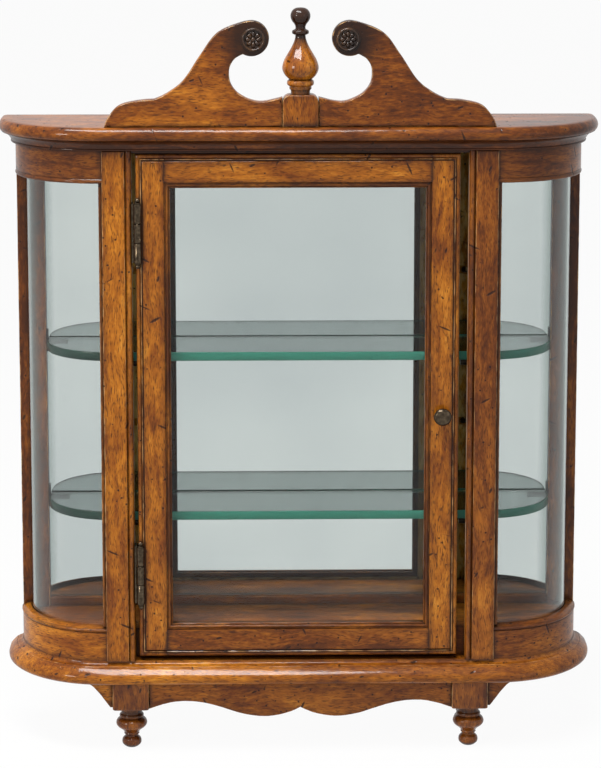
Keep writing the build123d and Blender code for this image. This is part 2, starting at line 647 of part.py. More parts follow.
def catch_screws():
    """Two screws that hold the catch up against the ceiling."""
    y = CATCH_Y + CATCH_D * 0.6
    return [rod((CATCH_X + x, y, CORNICE_Z - CATCH_H), (0, 0, 1), SCREW_R, CATCH_H + 6.0) for x in (-12.0, 12.0)]


def catch_body():
    """Magnetic catch: a case with two pole plates that face the strike."""
    x = (CATCH_X - CATCH_W / 2, CATCH_X + CATCH_W / 2)
    body = slab(x, (CATCH_Y, CATCH_Y + CATCH_D), (CORNICE_Z - CATCH_H, CORNICE_Z))
    for z in (CORNICE_Z - 6.6, CORNICE_Z - 3.4):
        body -= slab((x[0] + 7.0, x[1] - 7.0), (CATCH_Y, CATCH_Y + 0.6), (z - 0.5, z + 0.5))
    for screw in catch_screws():
        body -= screw
    return body


def strike_plate():
    """Steel plate on the back of the door's top rail."""
    z = (CORNICE_Z - CATCH_H - 1.0, DOOR_Z1 - 1.5)
    plate = slab((CATCH_X - 14.0, CATCH_X + 14.0), (POST_BACK_Y, POST_BACK_Y + STRIKE_T), z)
    for screw in strike_screws():
        plate -= screw
    return plate


def strike_screws():
    """Two screws through the strike plate into the top rail."""
    z = (CORNICE_Z - CATCH_H - 1.0 + DOOR_Z1 - 1.5) / 2
    start_y = POST_BACK_Y + STRIKE_T
    return [rod((CATCH_X + x, start_y, z), (0, -1, 0), SCREW_R, 9.0) for x in (-9.0, 9.0)]


# ---------------------------------------------------------------- assembly

def cut(piece, tools):
    """Piece with every tool taken out of it."""
    for tool in tools:
        piece -= tool
    return piece


def split_door(frame):
    """Full-height stiles and the rails between them."""
    (x0, x1), (z0, z1) = door_rect(-5.0)
    y = (FRONT_Y - 5.0, POST_BACK_Y + 5.0)
    left_x, right_x = DOOR_X0 + STILE_W, DOOR_X1 - STILE_W
    middle_z = (DOOR_Z0 + DOOR_Z1) / 2
    return {
        "door_stile_left": frame & slab((x0, left_x), y, (z0, z1)),
        "door_stile_right": frame & slab((right_x, x1), y, (z0, z1)),
        "door_rail_bottom": frame & slab((left_x, right_x), y, (z0, middle_z)),
        "door_rail_top": frame & slab((left_x, right_x), y, (middle_z, z1)),
    }


def build():
    """Every piece of the case by node name."""
    pieces = {
        "base_board": base_board(),
        "cornice_board": cornice_board(),
        "top_board": top_board(),
        "floor_board": floor_board(),
        "floor_front_rail": floor_front_rail(),
        "back_panel": back_panel(),
        "back_panel_screws": back_panel_screws(),
        "mirror": mirror_plate(),
        "mirror_strip_bottom": mirror_strip(FLOOR_TOP, FLOOR_TOP + 9.0, FLOOR_TOP + 9.0),
        "mirror_strip_top": mirror_strip(CORNICE_Z - 9.0, CORNICE_Z, CORNICE_Z - 9.0),
        "apron": apron(),
        "finial_block": finial_block(),
        "finial": finial(),
    }
    handed = {
        "rear_post": rear_post(),
        "lower_rail": lower_rail(),
        "upper_rail": upper_rail(),
        "side_glass": side_glass(),
        "glass_strip": glass_strip(),
        "bracket": bracket(),
    }
    for name, shape in handed.items():
        pieces[name + "_right"] = shape
        pieces[name + "_left"] = mirrored(shape)
    left_board = pediment()
    pieces["pediment_left"] = left_board
    pieces["pediment_right"] = mirrored(left_board)
    for name, side in (("left", -1), ("right", 1)):
        pieces["rosette_" + name] = rosette(side)
        for row, y in FOOT_YS.items():
            pieces["foot_" + row + "_" + name] = foot(side * FOOT_X, y)

    pieces.update(split_door(door_frame()))
    beads = sight_beads()
    pieces["door_beads_side"] = Compound([beads["left"], beads["right"]])
    pieces["door_beads_rail"] = Compound([beads["bottom"], beads["top"]])
    pieces["door_pane"] = door_pane()
    pieces["door_stops_side"], pieces["door_stops_rail"] = door_stops()
    pieces["knob"] = knob()
    pieces["knob_screw"] = knob_screw()
    pieces["door_stile_right"] -= pieces["knob_screw"]

    post_screws, stile_screws = [], []
    for name, centre_z in HINGE_ZS.items():
        pieces["hinge_frame_leaf_" + name] = frame_leaf(centre_z)
        pieces["hinge_door_leaf_" + name] = door_leaf(centre_z)
        pieces["hinge_pin_" + name] = hinge_pin(centre_z)
        post_screws += leaf_screws(centre_z, -1)
        stile_screws += leaf_screws(centre_z, 1)
        gain = rod((HINGE_X, HINGE_Y, centre_z - HINGE_LENGTH / 2 - 6.4), (0, 0, 1), GAIN_R, HINGE_LENGTH + 12.8)
        pieces["door_stile_left"] -= gain
    post = front_post()
    pieces["front_post_right"] = post
    pieces["front_post_left"] = cut(mirrored(post), post_screws)
    pieces["door_stile_left"] = cut(pieces["door_stile_left"], stile_screws)
    for side in ("left", "right"):
        pieces["rear_post_" + side] -= pieces["back_panel_screws"]

    pieces["catch_body"] = catch_body()
    pieces["cornice_board"] = cut(pieces["cornice_board"], catch_screws())
    pieces["strike_plate"] = strike_plate()
    pieces["door_rail_top"] = cut(pieces["door_rail_top"], strike_screws())
    pieces["frame_screws"] = Compound(post_screws + catch_screws())
    pieces["door_screws"] = Compound(stile_screws + strike_screws())

    pieces["shelf_pins_front"] = both_sides(front_pin)
    pieces["shelf_supports_rear"] = both_sides(rear_support)
    for name, top in SHELF_TOPS.items():
        pieces["shelf_" + name] = shelf(top)
    return pieces


for node, piece in build().items():
    export_step(piece, "parts/" + node + ".step")
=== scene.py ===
"""Looks of a bow-ended thimble display case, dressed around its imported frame."""

import logging
import math
import zlib
from dataclasses import dataclass, field
from enum import Enum, StrEnum
from typing import Callable, ClassVar, Sequence

import bmesh
import bpy
from mathutils import Euler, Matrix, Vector, noise


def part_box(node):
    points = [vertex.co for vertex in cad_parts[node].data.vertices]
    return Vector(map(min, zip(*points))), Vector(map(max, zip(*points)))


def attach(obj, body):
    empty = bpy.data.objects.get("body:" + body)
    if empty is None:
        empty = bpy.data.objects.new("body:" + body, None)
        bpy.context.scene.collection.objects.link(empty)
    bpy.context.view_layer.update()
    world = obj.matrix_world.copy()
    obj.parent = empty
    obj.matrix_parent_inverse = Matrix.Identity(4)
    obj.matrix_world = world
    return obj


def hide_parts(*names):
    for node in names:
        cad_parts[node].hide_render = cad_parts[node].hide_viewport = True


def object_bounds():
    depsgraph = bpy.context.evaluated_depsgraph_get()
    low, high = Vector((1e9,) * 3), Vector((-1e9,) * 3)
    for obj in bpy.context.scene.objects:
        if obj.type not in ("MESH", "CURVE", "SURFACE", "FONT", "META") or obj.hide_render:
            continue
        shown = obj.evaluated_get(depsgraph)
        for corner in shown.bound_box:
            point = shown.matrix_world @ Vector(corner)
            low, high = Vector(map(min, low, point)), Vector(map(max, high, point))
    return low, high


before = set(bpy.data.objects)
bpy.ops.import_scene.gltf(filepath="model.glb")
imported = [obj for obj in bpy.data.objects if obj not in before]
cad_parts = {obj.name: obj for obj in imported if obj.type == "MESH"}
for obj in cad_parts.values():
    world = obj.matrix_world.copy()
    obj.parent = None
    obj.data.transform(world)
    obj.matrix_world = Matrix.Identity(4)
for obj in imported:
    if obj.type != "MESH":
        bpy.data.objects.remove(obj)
CAD_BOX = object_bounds()
LOG = logging.getLogger("thimble_case")

MM = 0.001                 # metres in a millimetre: shapes are drawn in millimetres
STATION_STEP = 4.0         # spacing of the sections along a moulding
HALF_WIDTH = CAD_BOX[1].x / MM
SHARP_ANGLE = math.radians(38.0)
WEAR, GRAIN, GLAZE, STAIN = "wear", "grain", "glaze", "stain"
MIX_A, MIX_B, MIX_RESULT = 6, 7, 2    # colour sockets of Blender's Mix node

Material = bpy.types.Material
Object = bpy.types.Object
Node = bpy.types.Node
Socket = bpy.types.NodeSocket
Tree = bpy.types.NodeTree
Point = tuple[float, float]
SectionPoint = tuple[float, float, float]     # across, up and wear
Corner = tuple[float, float, float]           # across, up and radius
Ring = list[tuple[Vector, float]]             # place and wear
Ramp = tuple[tuple[float, str], ...]
TOOLS: list[Object] = []                      # objects that only cut others


class Side(StrEnum):
    """Sides of the case, for someone who stands in front of it."""

    LEFT = "left"
    RIGHT = "right"

    @property
    def sign(self) -> int:
        """Sign of X on this side."""
        return 1 if self is Side.RIGHT else -1


class Grain(Enum):
    """Axis that a board's fibres run along."""

    ALONG_X = 0
    ALONG_Z = 2


class Body(Enum):
    """Bodies of the frame that the pieces ride on."""

    CABINET = "cabinet"
    DOOR = "door"
    UPPER_SHELF = "upper_shelf"
    LOWER_SHELF = "lower_shelf"


class Slot(Enum):
    """Material slots of the record; each piece is drawn with one, which is not given to it."""

    HONEY_WOOD = "honey_wood"
    DARK_WOOD = "dark_wood"
    CLEAR_GLASS = "clear_glass"
    SHELF_GLASS = "shelf_glass"
    BRONZED_METAL = "bronzed_metal"


class Join(Enum):
    """How masks are joined: the largest of them counts, or they weaken each other."""

    LARGEST = "MAXIMUM"
    PRODUCT = "MULTIPLY"


@dataclass(frozen=True)
class Stain:
    """How a piece took its stain, and how much painted light lifts its hidden back face."""

    tone: float = 0.4             # 0 honey, 1 russet
    level: float = 0.0            # lighter above 0, darker below
    across: float = 0.25          # rise of the tone from the middle to the right end of the case
    back: float = 0.0             # painted light: how much lighter the hidden back face is painted
    bare: float = 0.0             # painted light: how far the hidden back face is painted pale, in the colour of rubbed arrises


# ---------------------------------------------------------------- numbers and colours

def linear(code: str) -> tuple[float, float, float, float]:
    """Turns an sRGB hex colour into the linear colour that shaders take.

    Args:
        code: Colour such as "#C98A2B".

    Returns:
        Linear red, green, blue and an alpha of 1.
    """
    shares = [int(code[i:i + 2], 16) / 255 for i in (1, 3, 5)]
    red, green, blue = [s / 12.92 if s <= 0.04045 else ((s + 0.055) / 1.055) ** 2.4 for s in shares]
    return red, green, blue, 1.0


def node_box(node: str) -> tuple[Vector, Vector]:
    """Lowest and highest corners of a frame node in millimetres."""
    low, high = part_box(node)
    return low / MM, high / MM


def from_middle(node: str) -> Point:
    """Distances of a node's inner and outer side from the middle of the case."""
    low, high = node_box(node)
    return min(abs(low.x), abs(high.x)), max(abs(low.x), abs(high.x))


def share(value: float) -> float:
    """The value, no lower than 0 and no higher than 1."""
    return max(0.0, min(1.0, value))


def quarter(cuts: int) -> list[float]:
    """Angles of a quarter turn cut into pieces, both ends included."""
    return [math.pi / 2 * k / cuts for k in range(cuts + 1)]


def full_turn(count: int) -> list[float]:
    """Angles evenly round a full turn."""
    return [2 * math.pi * k / count for k in range(count)]


def name_seed(name: str) -> float:
    """A number from 0 to 1 that is always the same for a name."""
    return (zlib.crc32(name.encode()) % 9973) / 9973


def steps(start: float, end: float, step: float = STATION_STEP) -> list[float]:
    """Evenly spaced values from start to end, both included, about a step apart."""
    count = max(1, round(abs(end - start) / step))
    return [start + (end - start) * i / count for i in range(count + 1)]


def through(points: Sequence[Point], cuts: int = 6) -> list[Point]:
    """Smooth line through a few points.

    Args:
        points: The points that the line passes.
        cuts: Pieces that each span is cut into.

    Returns:
        The points of the line, ends included.
    """
    line = []
    last = len(points) - 1
    for i in range(last):
        p0, p1, p2, p3 = (Vector(points[max(0, min(last, i + k))]) for k in (-1, 0, 1, 2))
        for j in range(cuts):
            t = j / cuts
            spot = 0.5 * (2 * p1 + (p2 - p0) * t + (2 * p0 - 5 * p1 + 4 * p2 - p3) * t * t
                          + (3 * p1 - p0 - 3 * p2 + p3) * t ** 3)
            line.append((spot.x, spot.y))
    line.append(tuple(points[-1]))
    return line


def shifted(points: Sequence[tuple[float, ...]], across: float, up: float) -> list[tuple[float, ...]]:
    """The same points moved across and up, with what else they carry."""
    return [(x + across, z + up, *rest) for x, z, *rest in points]


def mirrored_x(points: Sequence[Point]) -> list[Point]:
    """The same outline on the other side, in the opposite order."""
    return [(-x, z) for x, z in reversed(points)]


def wearing(points: Sequence[Point], wear: float) -> list[SectionPoint]:
    """The points as a part of a section, all with the same wear."""
    return [(x, z, wear) for x, z in points]


def facing_front(y: float, up: float = 0.0, sign: int = 1) -> Callable[[float, float, float], Vector]:
    """Puts the points of an outline on an upright plane at y, or at a depth behind it."""
    return lambda x, z, depth: Vector((sign * x, y + depth, up + z))


def rounded(corners: Sequence[Corner], arc_cuts: int = 4, support: float = 1.4) -> list[SectionPoint]:
    """Closed section with its corners rounded.

    Args:
        corners: Across, up and radius of each corner, in order round the section.
        arc_cuts: Pieces that each rounded corner is cut into.
        support: Width beside a corner over which its wear fades out.

    Returns:
        Across, up and wear (1 on an arris, 0 on a flat) of each point.
    """
    area = sum(a[0] * b[1] - b[0] * a[1] for a, b in zip(corners, [*corners[1:], corners[0]]))
    section = []
    for i, (x, y, radius) in enumerate(corners):
        here = Vector((x, y))
        before = Vector(corners[i - 1][:2]) - here
        after = Vector(corners[(i + 1) % len(corners)][:2]) - here
        if radius <= 0:
            section.append((x, y, 0.0))
            continue
        turn = before.normalized().angle(after.normalized())
        reach = min(radius / math.tan(turn / 2), 0.48 * before.length, 0.48 * after.length)
        proud = (before.cross(after) < 0) == (area > 0)
        start, end = here + before.normalized() * reach, here + after.normalized() * reach
        if before.length > 2 * (reach + support):
            far = here + before.normalized() * (reach + support)
            section.append((far.x, far.y, 0.0))
        for k in range(arc_cuts + 1):
            t = k / arc_cuts
            spot = start * (1 - t) ** 2 + here * 2 * t * (1 - t) + end * t ** 2
            section.append((spot.x, spot.y, (0.55 + 0.45 * math.sin(math.pi * t)) if proud else 0.0))
        if after.length > 2 * (reach + support):
            far = here + after.normalized() * (reach + support)
            section.append((far.x, far.y, 0.0))
    return section


# ---------------------------------------------------------------- drawing meshes

class Draft:
    """A mesh being drawn in millimetres, with the wear, fibres and glaze of each point."""

    def __init__(self, name: str, grain: Grain = Grain.ALONG_X, wear_depth: float = 0.35,
                 stain: Stain = Stain(), fibres: Callable[[Vector], Vector] | None = None,
                 glaze: Callable[[Vector], float] | None = None) -> None:
        """Starts an empty mesh.

        Args:
            name: Name of the piece, which also seeds its wear.
            grain: Axis of the fibres.
            wear_depth: How far rubbing has taken the arrises back, at most.
            stain: How the piece took its stain.
            fibres: Gives along, across and depth of a point, for bent work.
            glaze: Gives how much dark glaze was left at a point, 0 to 1; on glass, how much painted shade
                darkens its tint.
        """
        self.name = name
        self.grain = grain
        self.wear_depth = wear_depth
        self.stain = stain
        self.fibres = fibres
        self.glaze = glaze
        self.mesh = bmesh.new()
        self.wear_layer = self.mesh.verts.layers.float.new(WEAR)
        self.grain_layer = self.mesh.verts.layers.float_vector.new(GRAIN)
        self.glaze_layer = self.mesh.verts.layers.float.new(GLAZE)
        self.stain_layer = self.mesh.verts.layers.float_vector.new(STAIN)

    def ring(self, points: Ring) -> list[bmesh.types.BMVert]:
        """Adds the points of a ring.

        Args:
            points: Place and wear of each point.

        Returns:
            The vertices of the ring.
        """
        verts = []
        for place, wear in points:
            vert = self.mesh.verts.new(place)
            vert[self.wear_layer] = wear
            verts.append(vert)
        return verts

    def bridge(self, first: Sequence, second: Sequence, closed: bool = True, material: int = 0) -> None:
        """Joins two rings of the same length with faces.

        Args:
            first: Vertices of one ring.
            second: Vertices of the other.
            closed: Whether the rings run all the way round.
            material: Material slot of the faces.
        """
        count = len(first)
        for i in range(count if closed else count - 1):
            j = (i + 1) % count
            quad = self.mesh.faces.new((first[i], first[j], second[j], second[i]))
            quad.material_index = material

    def cap(self, verts: Sequence) -> None:
        """Closes a ring with one flat face."""
        self.mesh.faces.new(verts)

    def sweep(self, rings: Sequence[Ring], caps: bool = True, closed: bool = True) -> list[list]:
        """Skins a run of rings.

        Args:
            rings: The rings, in order.
            caps: Whether both ends are closed with a face.
            closed: Whether the rings run all the way round.

        Returns:
            The vertices of each ring.
        """
        skinned = [self.ring(points) for points in rings]
        for first, second in zip(skinned, skinned[1:]):
            self.bridge(first, second, closed)
        if caps:
            self.cap(skinned[0])
            self.cap(skinned[-1])
        return skinned

    def fan(self, tip: bmesh.types.BMVert, rim: Sequence) -> None:
        """Joins a point to a ring with faces."""
        for k, vert in enumerate(rim):
            self.mesh.faces.new((tip, vert, rim[(k + 1) % len(rim)]))

    def lathe(self, profile: Sequence[Point], centre: Vector, axis: Vector = Vector((0, 0, 1)),
              segments: int = 72) -> None:
        """Turns a profile about an axis.

        Args:
            profile: Radius and height of each point, from one end on the axis to the other.
            centre: Point on the axis at height 0.
            axis: Direction of the axis.
            segments: Facets round the turning.
        """
        side = axis.orthogonal().normalized()
        other = axis.cross(side).normalized()
        rings = []
        for radius, height in profile:
            if radius < 1e-6:
                rings.append(self.ring([(centre + axis * height, 0.0)]))
                continue
            rings.append(self.ring([
                (centre + axis * height + (side * math.cos(a) + other * math.sin(a)) * radius, 0.0)
                for a in full_turn(segments)]))
        for first, second in zip(rings, rings[1:]):
            if len(first) == 1 or len(second) == 1:
                tip, rim = (first[0], second) if len(first) == 1 else (second[0], first)
                self.fan(tip, rim)
            else:
                self.bridge(first, second)

    def plate(self, outline: Sequence[Point], place: Callable[[float, float, float], Vector],
              thickness: float, arris: float, edge_material: int = 0, arc_cuts: int = 3,
              support: float = 1.3) -> None:
        """Board or pane sawn to an outline, its arrises eased on both faces.

        Args:
            outline: Points of the outline, in order round it.
            place: Puts across, up and depth of a point in space.
            thickness: Depth of the piece.
            arris: Radius of the eased arrises.
            edge_material: Material slot of the sawn edge.
            arc_cuts: Pieces that each arris is cut into.
            support: Width beside an arris over which its wear fades out; 0 where the outline
                comes to a point too narrow for it.
        """
        count = len(outline)
        flat = [Vector(p) for p in outline]
        area = sum(flat[i - 1].cross(flat[i]) for i in range(count))
        sense = 1 if area > 0 else -1
        inward = []
        for i in range(count):
            a, b = flat[i] - flat[i - 1], flat[(i + 1) % count] - flat[i]
            na, nb = (Vector((-d.y, d.x)).normalized() * sense for d in (a, b))
            mean = (na + nb) / 2
            inward.append(mean / max(0.35, mean.length_squared))
        front = [(arris * (1 - math.sin(t)), arris * (1 - math.cos(t)), 0.5 + 0.5 * math.sin(2 * t))
                 for t in quarter(arc_cuts)]
        back = [(inset, thickness - depth, wear) for inset, depth, wear in reversed(front)]
        levels = [*front, (0.0, thickness / 2, 0.0), *back]
        if support > 0:
            levels = [(arris + support, 0.0, 0.0), *levels, (arris + support, thickness, 0.0)]
        rings = []
        for inset, depth, wear in levels:
            spots = [flat[i] + inward[i] * inset for i in range(count)]
            rings.append(self.ring([(place(p.x, p.y, depth), wear) for p in spots]))
        for k, (first, second) in enumerate(zip(rings, rings[1:])):
            rim = support <= 0 or 0 < k < len(rings) - 2
            self.bridge(first, second, material=edge_material if rim else 0)
        self.cap(rings[0])
        self.cap(rings[-1])

    def cut(self, axis: int, value: float, side: float = 1.0, clear: bool = False) -> None:
        """Cuts the mesh by a plane.

        Args:
            axis: Axis across which the plane lies.
            value: Place of the plane.
            side: Sign of the side that counts as outer.
            clear: Whether what lies on the outer side goes.
        """
        spot, normal = Vector((0, 0, 0)), Vector((0, 0, 0))
        spot[axis], normal[axis] = value, side
        bmesh.ops.bisect_plane(self.mesh, geom=[*self.mesh.verts, *self.mesh.edges, *self.mesh.faces],
                               plane_co=spot, plane_no=normal, clear_outer=clear)

    def slice(self, axis: int, spacing: float) -> None:
        """Cuts the mesh across an axis every so often, so that its faces carry more points.

        Args:
            axis: Axis across which the cuts lie.
            spacing: Distance between them.
        """
        values = [v.co[axis] for v in self.mesh.verts]
        for value in steps(min(values), max(values), spacing)[1:-1]:
            self.cut(axis, value)

    def keep(self, axis: int, limits: tuple[float, float], ease: float = 0.8) -> None:
        """Keeps what lies between two planes across an axis, closes the cuts and eases their edges.

        Args:
            axis: Axis across which the planes lie.
            limits: Places of the planes.
            ease: Width of the eased edges, where dark glaze gathers.
        """
        for value, side in ((limits[0], -1), (limits[1], 1)):
            self.cut(axis, value - side * 3 * ease, side)
            self.cut(axis, value, side, clear=True)
            rim = [e for e in self.mesh.edges if e.is_boundary]
            if not rim:
                continue
            bmesh.ops.holes_fill(self.mesh, edges=rim)
            eased = bmesh.ops.bevel(self.mesh, geom=rim, offset=ease, segments=2, profile=0.5,
                                    affect="EDGES", clamp_overlap=True)
            for vert in eased["verts"]:
                vert[self.glaze_layer] = 0.85

    def age(self) -> None:
        """Rubs the arrises back unevenly, as hand distressing does."""
        self.mesh.normal_update()
        shift = Vector((name_seed(self.name), name_seed(self.name + "b"), 0.5)) * 200
        moves = []
        for vert in self.mesh.verts:
            wear = vert[self.wear_layer]
            if wear <= 0:
                continue
            spot = vert.co + shift
            rub = 0.35 + 0.9 * noise.noise(spot / 9.0) + 0.55 * noise.noise(spot / 3.1)
            moves.append((vert, vert.normal * (-self.wear_depth * wear * share(rub))))
        for vert, move in moves:
            vert.co += move

    def mark(self) -> None:
        """Writes fibres, glaze and stain at every point."""
        shift = Vector((name_seed(self.name), name_seed(self.name + "y"), name_seed(self.name + "z"))) * 900
        rear = max(vert.co.y for vert in self.mesh.verts) - 1.0
        for vert in self.mesh.verts:
            x, y, z = vert.co
            if self.fibres is not None:
                spot = self.fibres(vert.co)
            elif self.grain is Grain.ALONG_X:
                spot = Vector((x, z, y))
            else:
                spot = Vector((z, x, y))
            vert[self.grain_layer] = spot + shift
            if self.glaze is not None:
                vert[self.glaze_layer] = max(vert[self.glaze_layer], self.glaze(vert.co))
            tone = self.stain.tone + self.stain.across * x / HALF_WIDTH
            level = self.stain.level
            # painted light: the hidden back face is painted lighter and paler, as if the lamps reached it
            # better
            if y > rear:
                level += self.stain.back
                vert[self.wear_layer] = max(vert[self.wear_layer], self.stain.bare)
            vert[self.stain_layer] = Vector((tone, level, 0.0))

    def solid(self) -> Object:
        """Puts what was drawn into the scene, in metres.

        Returns:
            The object.
        """
        bmesh.ops.scale(self.mesh, vec=(MM, MM, MM), verts=self.mesh.verts)
        data = bpy.data.meshes.new(self.name)
        self.mesh.to_mesh(data)
        self.mesh.free()
        return in_scene(self.name, data)

    def tool(self) -> Object:
        """Makes an object that only cuts others and is removed in the end.

        Returns:
            The tool.
        """
        bmesh.ops.recalc_face_normals(self.mesh, faces=self.mesh.faces)
        TOOLS.append(self.solid())
        return TOOLS[-1]

    def finish(self, body: Body, slot: Slot, materials: Sequence[Material], node: str,
               cutters: Sequence[Object] = ()) -> None:
        """Turns the draft into a piece that rides on a body, in the place of a frame node.

        Args:
            body: Body that the piece rides on.
            slot: Not used; material slot of the record.
            materials: Materials in slot order.
            node: Frame node that the piece replaces.
            cutters: Objects whose volume is taken out of it.
        """
        bmesh.ops.recalc_face_normals(self.mesh, faces=self.mesh.faces)
        self.age()
        self.mark()
        piece = self.solid()
        for cutter in cutters:
            carve(piece, cutter)
        settle(piece, body, materials, node)


def in_scene(name: str, data: bpy.types.ID) -> Object:
    """Puts an object with this data into the scene.

    Args:
        name: Name of the object.
        data: Its mesh, lamp or camera.

    Returns:
        The object.
    """
    thing = bpy.data.objects.new(name, data)
    bpy.context.scene.collection.objects.link(thing)
    return thing


def settle(piece: Object, body: Body, materials: Sequence[Material], node: str) -> None:
    """Gives a piece its shading and finishes, and sets it in the place of a frame node.

    Args:
        piece: The piece.
        body: Body that it rides on.
        materials: Materials in slot order.
        node: Frame node that it replaces.
    """
    piece.data.shade_smooth()
    piece.data.set_sharp_from_angle(angle=SHARP_ANGLE)
    for material in materials:
        piece.data.materials.append(material)
    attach(piece, body.value)
    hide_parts(node)
    LOG.info("%s: %d faces, for %s", piece.name, len(piece.data.polygons), node)


def carve(piece: Object, cutter: Object) -> None:
    """Takes a tool's volume out of a piece.

    Args:
        piece: The piece, whose mesh is replaced by the carved one.
        cutter: The tool.
    """
    modifier = piece.modifiers.new("carve", "BOOLEAN")
    modifier.operation = "DIFFERENCE"
    modifier.solver = "EXACT"
    modifier.object = cutter
    carved = bpy.data.meshes.new_from_object(piece.evaluated_get(bpy.context.evaluated_depsgraph_get()))
    piece.modifiers.clear()
    piece.data = carved


# ---------------------------------------------------------------- finishes

def add_node(tree: Tree, kind: str, settings: dict | None = None,
             links: dict | None = None) -> Node:
    """Adds a node.

    Args:
        tree: Node tree that gets it.
        kind: Type of the node.
        settings: Values by name: lower-case names are the node's own settings, "stops" are a
            colour ramp's places and colours, and others are input sockets.
        links: Sockets to link, by input name or number.

    Returns:
        The node.
    """
    node = tree.nodes.new(kind)
    for key, value in (settings or {}).items():
        if key == "stops":
            ramp = node.color_ramp
            while len(ramp.elements) < len(value):
                ramp.elements.new(0.5)
            for element, (place, code) in zip(ramp.elements, value):
                element.position = place
                element.color = linear(code)
        elif isinstance(key, str) and key.islower():
            setattr(node, key, value)
        else:
            node.inputs[key].default_value = value
    for key, socket in (links or {}).items():
        tree.links.new(socket, node.inputs[key])
    return node


def new_material(name: str) -> tuple[Material, Tree]:
    """Starts a material without nodes.

    Args:
        name: Name of the material.

    Returns:
        The material and its node tree.
    """
    material = bpy.data.materials.new(name)
    material.use_nodes = True
    material.node_tree.nodes.clear()
    return material, material.node_tree


def between(start: float, end: float, low: float = 0.0, high: float = 1.0) -> dict:
    """Settings that take a value smoothly from low, at the start, to high, at the end."""
    return {"interpolation_type": "SMOOTHSTEP", "From Min": start, "From Max": end,
            "To Min": low, "To Max": high}


def paint(code: str) -> dict:
    """Settings that lay an sRGB hex colour over another colour."""
    return {"data_type": "RGBA", MIX_B: linear(code)}


def joined(tree: Tree, how: Join, *masks: Socket) -> Socket:
    """Joins masks one after another.

    Args:
        tree: Node tree that gets the nodes.
        how: How they are joined.
        masks: The masks.

    Returns:
        Socket with the joined mask.
    """
    whole = masks[0]
    for mask in masks[1:]:
        whole = add_node(tree, "ShaderNodeMath", {"operation": how.value},
                         {0: whole, 1: mask}).outputs["Value"]
    return whole


def mottle(tree: Tree, size_mm: float, detail: float, dark: tuple[float, str], light: tuple[float, str],
           roughness: float = 0.5) -> tuple[Socket, Socket]:
    """Uneven patches all over a surface.

    Args:
        tree: Node tree that gets the nodes.
        size_mm: Size of the patches.
        detail: How many finer sizes are mixed in.
        dark: Level and colour of the dark patches.
        light: Level and colour of the light ones.
        roughness: How strong the finer sizes are.

    Returns:
        Sockets with the level and with the colour.
    """
    place = add_node(tree, "ShaderNodeTexCoord").outputs["Object"]
    level = add_node(tree, "ShaderNodeTexNoise",
                     {"Scale": 1 / (size_mm * MM), "Detail": detail, "Roughness": roughness},
                     {"Vector": place}).outputs["Fac"]
    colour = add_node(tree, "ShaderNodeValToRGB", {"stops": (dark, light)}, {"Fac": level})
    return level, colour.outputs["Color"]


